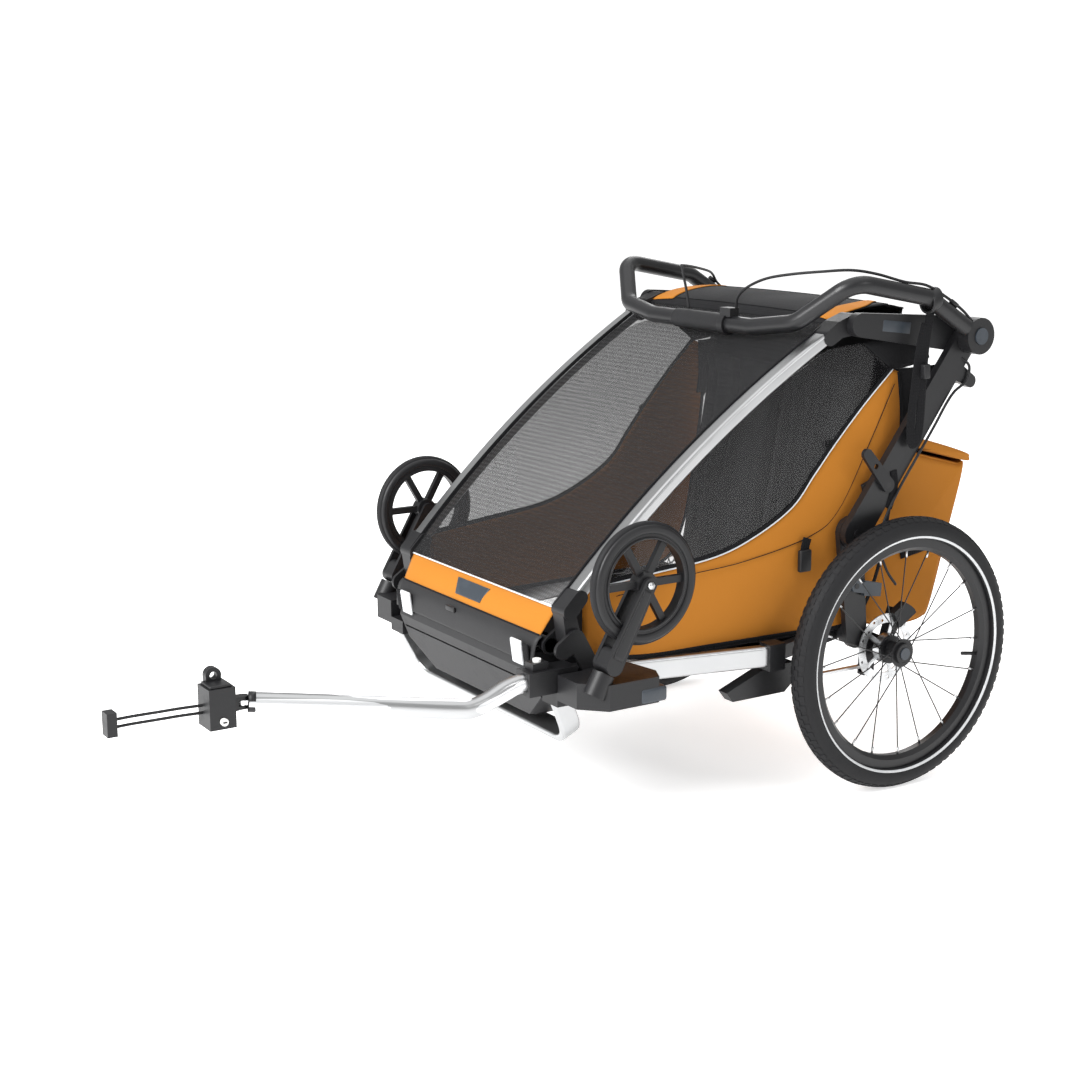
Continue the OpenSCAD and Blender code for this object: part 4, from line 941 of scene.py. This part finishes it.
ARM = [(268, -656, 38), (268, -700, 38), (268, -745, 38), (267.5, -775, 33), (266.5, -812, 17),
       (264, -842, 9.5),
       (256, -868, 10.5), (220, -946, 18), (180, -1036, 28), (150, -1108, 35), (127.5, -1163, 40)]


def hitch():
    """The arm: a flattened oval, wider than it is tall, carried along its bends; black end collar,
    and the two safety cords that run to the hook."""
    path = along(ARM, 150)
    flat = round_profile(27, 31, 2.6, 28)
    arm = tube("hitch_arm_tube", path, flat, [0, 0.05, 1], look("alloy"))
    on(arm, "hitch_arm")
    end = unit_line(path[-1], path[-2])
    collar = [path[-1] + end * 3, path[-1] - end * 9]
    on(tube("arm_end_collar", collar, round_profile(29, 33, 2.6, 28), [0, 0.05, 1], look("black plastic")),
       "hitch_arm")
    spot = path[-1] - end * 34 + np.array([-13.6 * end[1], 13.6 * end[0], 0]) * -1
    on(tube("arm_plug", [spot, spot + np.array([-end[1], end[0], 0]) * 3], round_profile(11, 11, n=18),
            [0, 0, 1],
            look("black plastic")), "hitch_arm")
    for k, z in enumerate((30, 42)):
        knots = [(112, -1230, z), (111, -1270, z + 1), (110, -1310, z + 1), (109, -1350, z + 1),
                 (108, -1380, z)]
        piece = line_cord("safety_cord_%d" % k, knots, 5.0, "grip rubber", "hitch_block")
        if k == 0:
            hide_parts("safety_cords")
    on(slab("block_cap", (118, -1214, 75), (40, 36, 5), 0, look("black coat"), 1.5), "hitch_block")
    on(tube("key_slot", [(148.5, -1214, 20), (149.6, -1214, 20)], round_profile(2.2, 7, 4, 12), [0, 1, 0],
            look("black plastic")), "lock_knob")


def unit_line(a, b):
    """The direction from b to a."""
    d = np.asarray(a, float) - np.asarray(b, float)
    return d / np.linalg.norm(d)


def studio():
    """A pale floor, soft lights and the camera."""
    scene = bpy.context.scene
    n = 3
    g = np.linspace(-30.0, 30.0, n)
    pts = [(x, y, 0.0) for x in g for y in g]
    mesh = bpy.data.meshes.new("floor")
    mesh.from_pydata(pts, [], quads(n, n)[:, ::-1].tolist())
    m = bpy.data.materials.new("pale floor")
    m.use_nodes = True
    b = m.node_tree.nodes["Principled BSDF"]
    b.inputs["Base Color"].default_value = (0.90, 0.90, 0.90, 1)
    b.inputs["Emission Color"].default_value = (1, 1, 1, 1)
    b.inputs["Emission Strength"].default_value = 0.58
    b.inputs["Roughness"].default_value = 0.8
    mesh.materials.append(m)
    floor = bpy.data.objects.new("floor", mesh)
    floor.location.z = -0.0005
    scene.collection.objects.link(floor)
    world = bpy.data.worlds.new("studio")
    world.use_nodes = True
    back = world.node_tree.nodes["Background"]
    back.inputs[0].default_value = (1.0, 1.0, 1.0, 1)
    seen = world.node_tree.nodes.new("ShaderNodeLightPath")
    light = maths(world.node_tree, "ADD", maths(world.node_tree, "MULTIPLY",
                                                seen.outputs["Is Camera Ray"], 0.6), 0.55)
    world.node_tree.links.new(light, back.inputs[1])
    scene.world = world
    scene.view_settings.view_transform = "Standard"
    lights = [("front", (0.6, -4.2, 3.2), 2.2, 400), ("top", (-0.3, 0.0, 6.0), 9.0, 260),
              ("rear", (-2.4, 2.6, 2.4), 1.6, 30), ("side", (4.2, 1.2, 2.6), 1.2, 26)]
    for name, at, width, power in lights:
        lamp = bpy.data.lights.new(name, "AREA")
        lamp.shape, lamp.size, lamp.energy = "SQUARE", width, power
        obj = bpy.data.objects.new(name, lamp)
        obj.location = at
        aim = -np.array(at) + np.array([0, 0, 0.4])
        obj.rotation_euler = (math.pi - math.acos(aim[2] / np.linalg.norm(aim)), 0,
                              math.atan2(aim[1], aim[0]) - math.pi / 2)
        scene.collection.objects.link(obj)
    cam = bpy.data.cameras.new("camera")
    cam.lens, cam.sensor_width = 60.0, 36.0
    obj = bpy.data.objects.new("camera", cam)
    obj.location = (2.667, -1.7475, 1.145)
    obj.rotation_euler = (math.radians(90 - 12.340), 0, math.radians(57.654))
    scene.collection.objects.link(obj)
    scene.camera = obj


# ---- operators ----
class TRAILER_OT_studio(bpy.types.Operator):
    """Adds the floor, lights and camera"""

    bl_idname = "trailer.studio"
    bl_label = "Studio"

    def execute(self, context):
        studio()
        return {"FINISHED"}


class TRAILER_OT_hitch(bpy.types.Operator):
    """Adds the arm's tube, its trims and the safety cords"""

    bl_idname = "trailer.hitch"
    bl_label = "Hitch"

    def execute(self, context):
        hitch()
        return {"FINISHED"}


class TRAILER_OT_cables(bpy.types.Operator):
    """Adds the brake cables and the wrist strap"""

    bl_idname = "trailer.cables"
    bl_label = "Cables and straps"

    def execute(self, context):
        cables_and_straps()
        return {"FINISHED"}


class TRAILER_OT_frame(bpy.types.Operator):
    """Gives each frame part its finish"""

    bl_idname = "trailer.frame"
    bl_label = "Frame finishes"

    def execute(self, context):
        dress_frame()
        return {"FINISHED"}


class TRAILER_OT_cover(bpy.types.Operator):
    """Adds the mesh cover, its strip and bindings"""

    bl_idname = "trailer.cover"
    bl_label = "Front cover"

    def execute(self, context):
        front_cover()
        return {"FINISHED"}


class TRAILER_OT_panels(bpy.types.Operator):
    """Adds the side panels and windows"""

    bl_idname = "trailer.panels"
    bl_label = "Side panels"

    def execute(self, context):
        side_panels()
        return {"FINISHED"}


class TRAILER_OT_roof(bpy.types.Operator):
    """Adds the roof, its patches and the back sheet"""

    bl_idname = "trailer.roof"
    bl_label = "Roof and back"

    def execute(self, context):
        roof_and_back()
        return {"FINISHED"}


class TRAILER_OT_bag(bpy.types.Operator):
    """Adds the cargo bag and its lid"""

    bl_idname = "trailer.bag"
    bl_label = "Cargo bag"

    def execute(self, context):
        cargo_bag()
        return {"FINISHED"}


class TRAILER_OT_seats(bpy.types.Operator):
    """Adds the padded seats, harnesses and floor"""

    bl_idname = "trailer.seats"
    bl_label = "Seats"

    def execute(self, context):
        seats()
        return {"FINISHED"}


class TRAILER_OT_wheels(bpy.types.Operator):
    """Adds stripes, tread, nipples and valves"""

    bl_idname = "trailer.wheels"
    bl_label = "Wheel trims"

    def execute(self, context):
        wheel_trims()
        return {"FINISHED"}


class TRAILER_OT_stroller_wheels(bpy.types.Operator):
    """Adds tyres and fork plates"""

    bl_idname = "trailer.stroller_wheels"
    bl_label = "Stroller wheel trims"

    def execute(self, context):
        stroller_wheel_trims()
        return {"FINISHED"}


class TRAILER_OT_trims(bpy.types.Operator):
    """Adds reflectors, plates, the tub's lip, clips and straps"""

    bl_idname = "trailer.trims"
    bl_label = "Frame trims"

    def execute(self, context):
        frame_trims()
        return {"FINISHED"}


STEPS = [TRAILER_OT_studio, TRAILER_OT_hitch, TRAILER_OT_cables, TRAILER_OT_frame,
         TRAILER_OT_cover, TRAILER_OT_panels, TRAILER_OT_roof, TRAILER_OT_bag,
         TRAILER_OT_seats, TRAILER_OT_wheels, TRAILER_OT_stroller_wheels, TRAILER_OT_trims]


class TRAILER_PT_sidebar(bpy.types.Panel):
    """Lists the trailer's steps and settings."""

    bl_label = "Bicycle trailer"
    bl_idname = "TRAILER_PT_sidebar"
    bl_space_type = "VIEW_3D"
    bl_region_type = "UI"
    bl_category = "Trailer"

    def draw(self, context):
        for settings in (context.scene.trailer_fabric, context.scene.trailer_finish):
            for key in settings.bl_rna.properties.keys():
                if key not in ("rna_type", "name"):
                    self.layout.prop(settings, key)
        for cls in STEPS:
            self.layout.operator(cls.bl_idname)


CLASSES = [TrailerFabric, TrailerFinish, *STEPS, TRAILER_PT_sidebar]


def register():
    """Adds the classes and their settings to Blender."""
    for cls in CLASSES:
        bpy.utils.register_class(cls)
    bpy.types.Scene.trailer_fabric = bpy.props.PointerProperty(type=TrailerFabric)
    bpy.types.Scene.trailer_finish = bpy.props.PointerProperty(type=TrailerFinish)


def unregister():
    """Takes the classes and their settings out again."""
    del bpy.types.Scene.trailer_fabric, bpy.types.Scene.trailer_finish
    for cls in reversed(CLASSES):
        bpy.utils.unregister_class(cls)


def main():
    """Builds everything."""
    register()
    for cls in STEPS:
        getattr(bpy.ops.trailer, cls.bl_idname.split(".")[1])()
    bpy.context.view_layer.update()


if __name__ == "__main__":
    main()
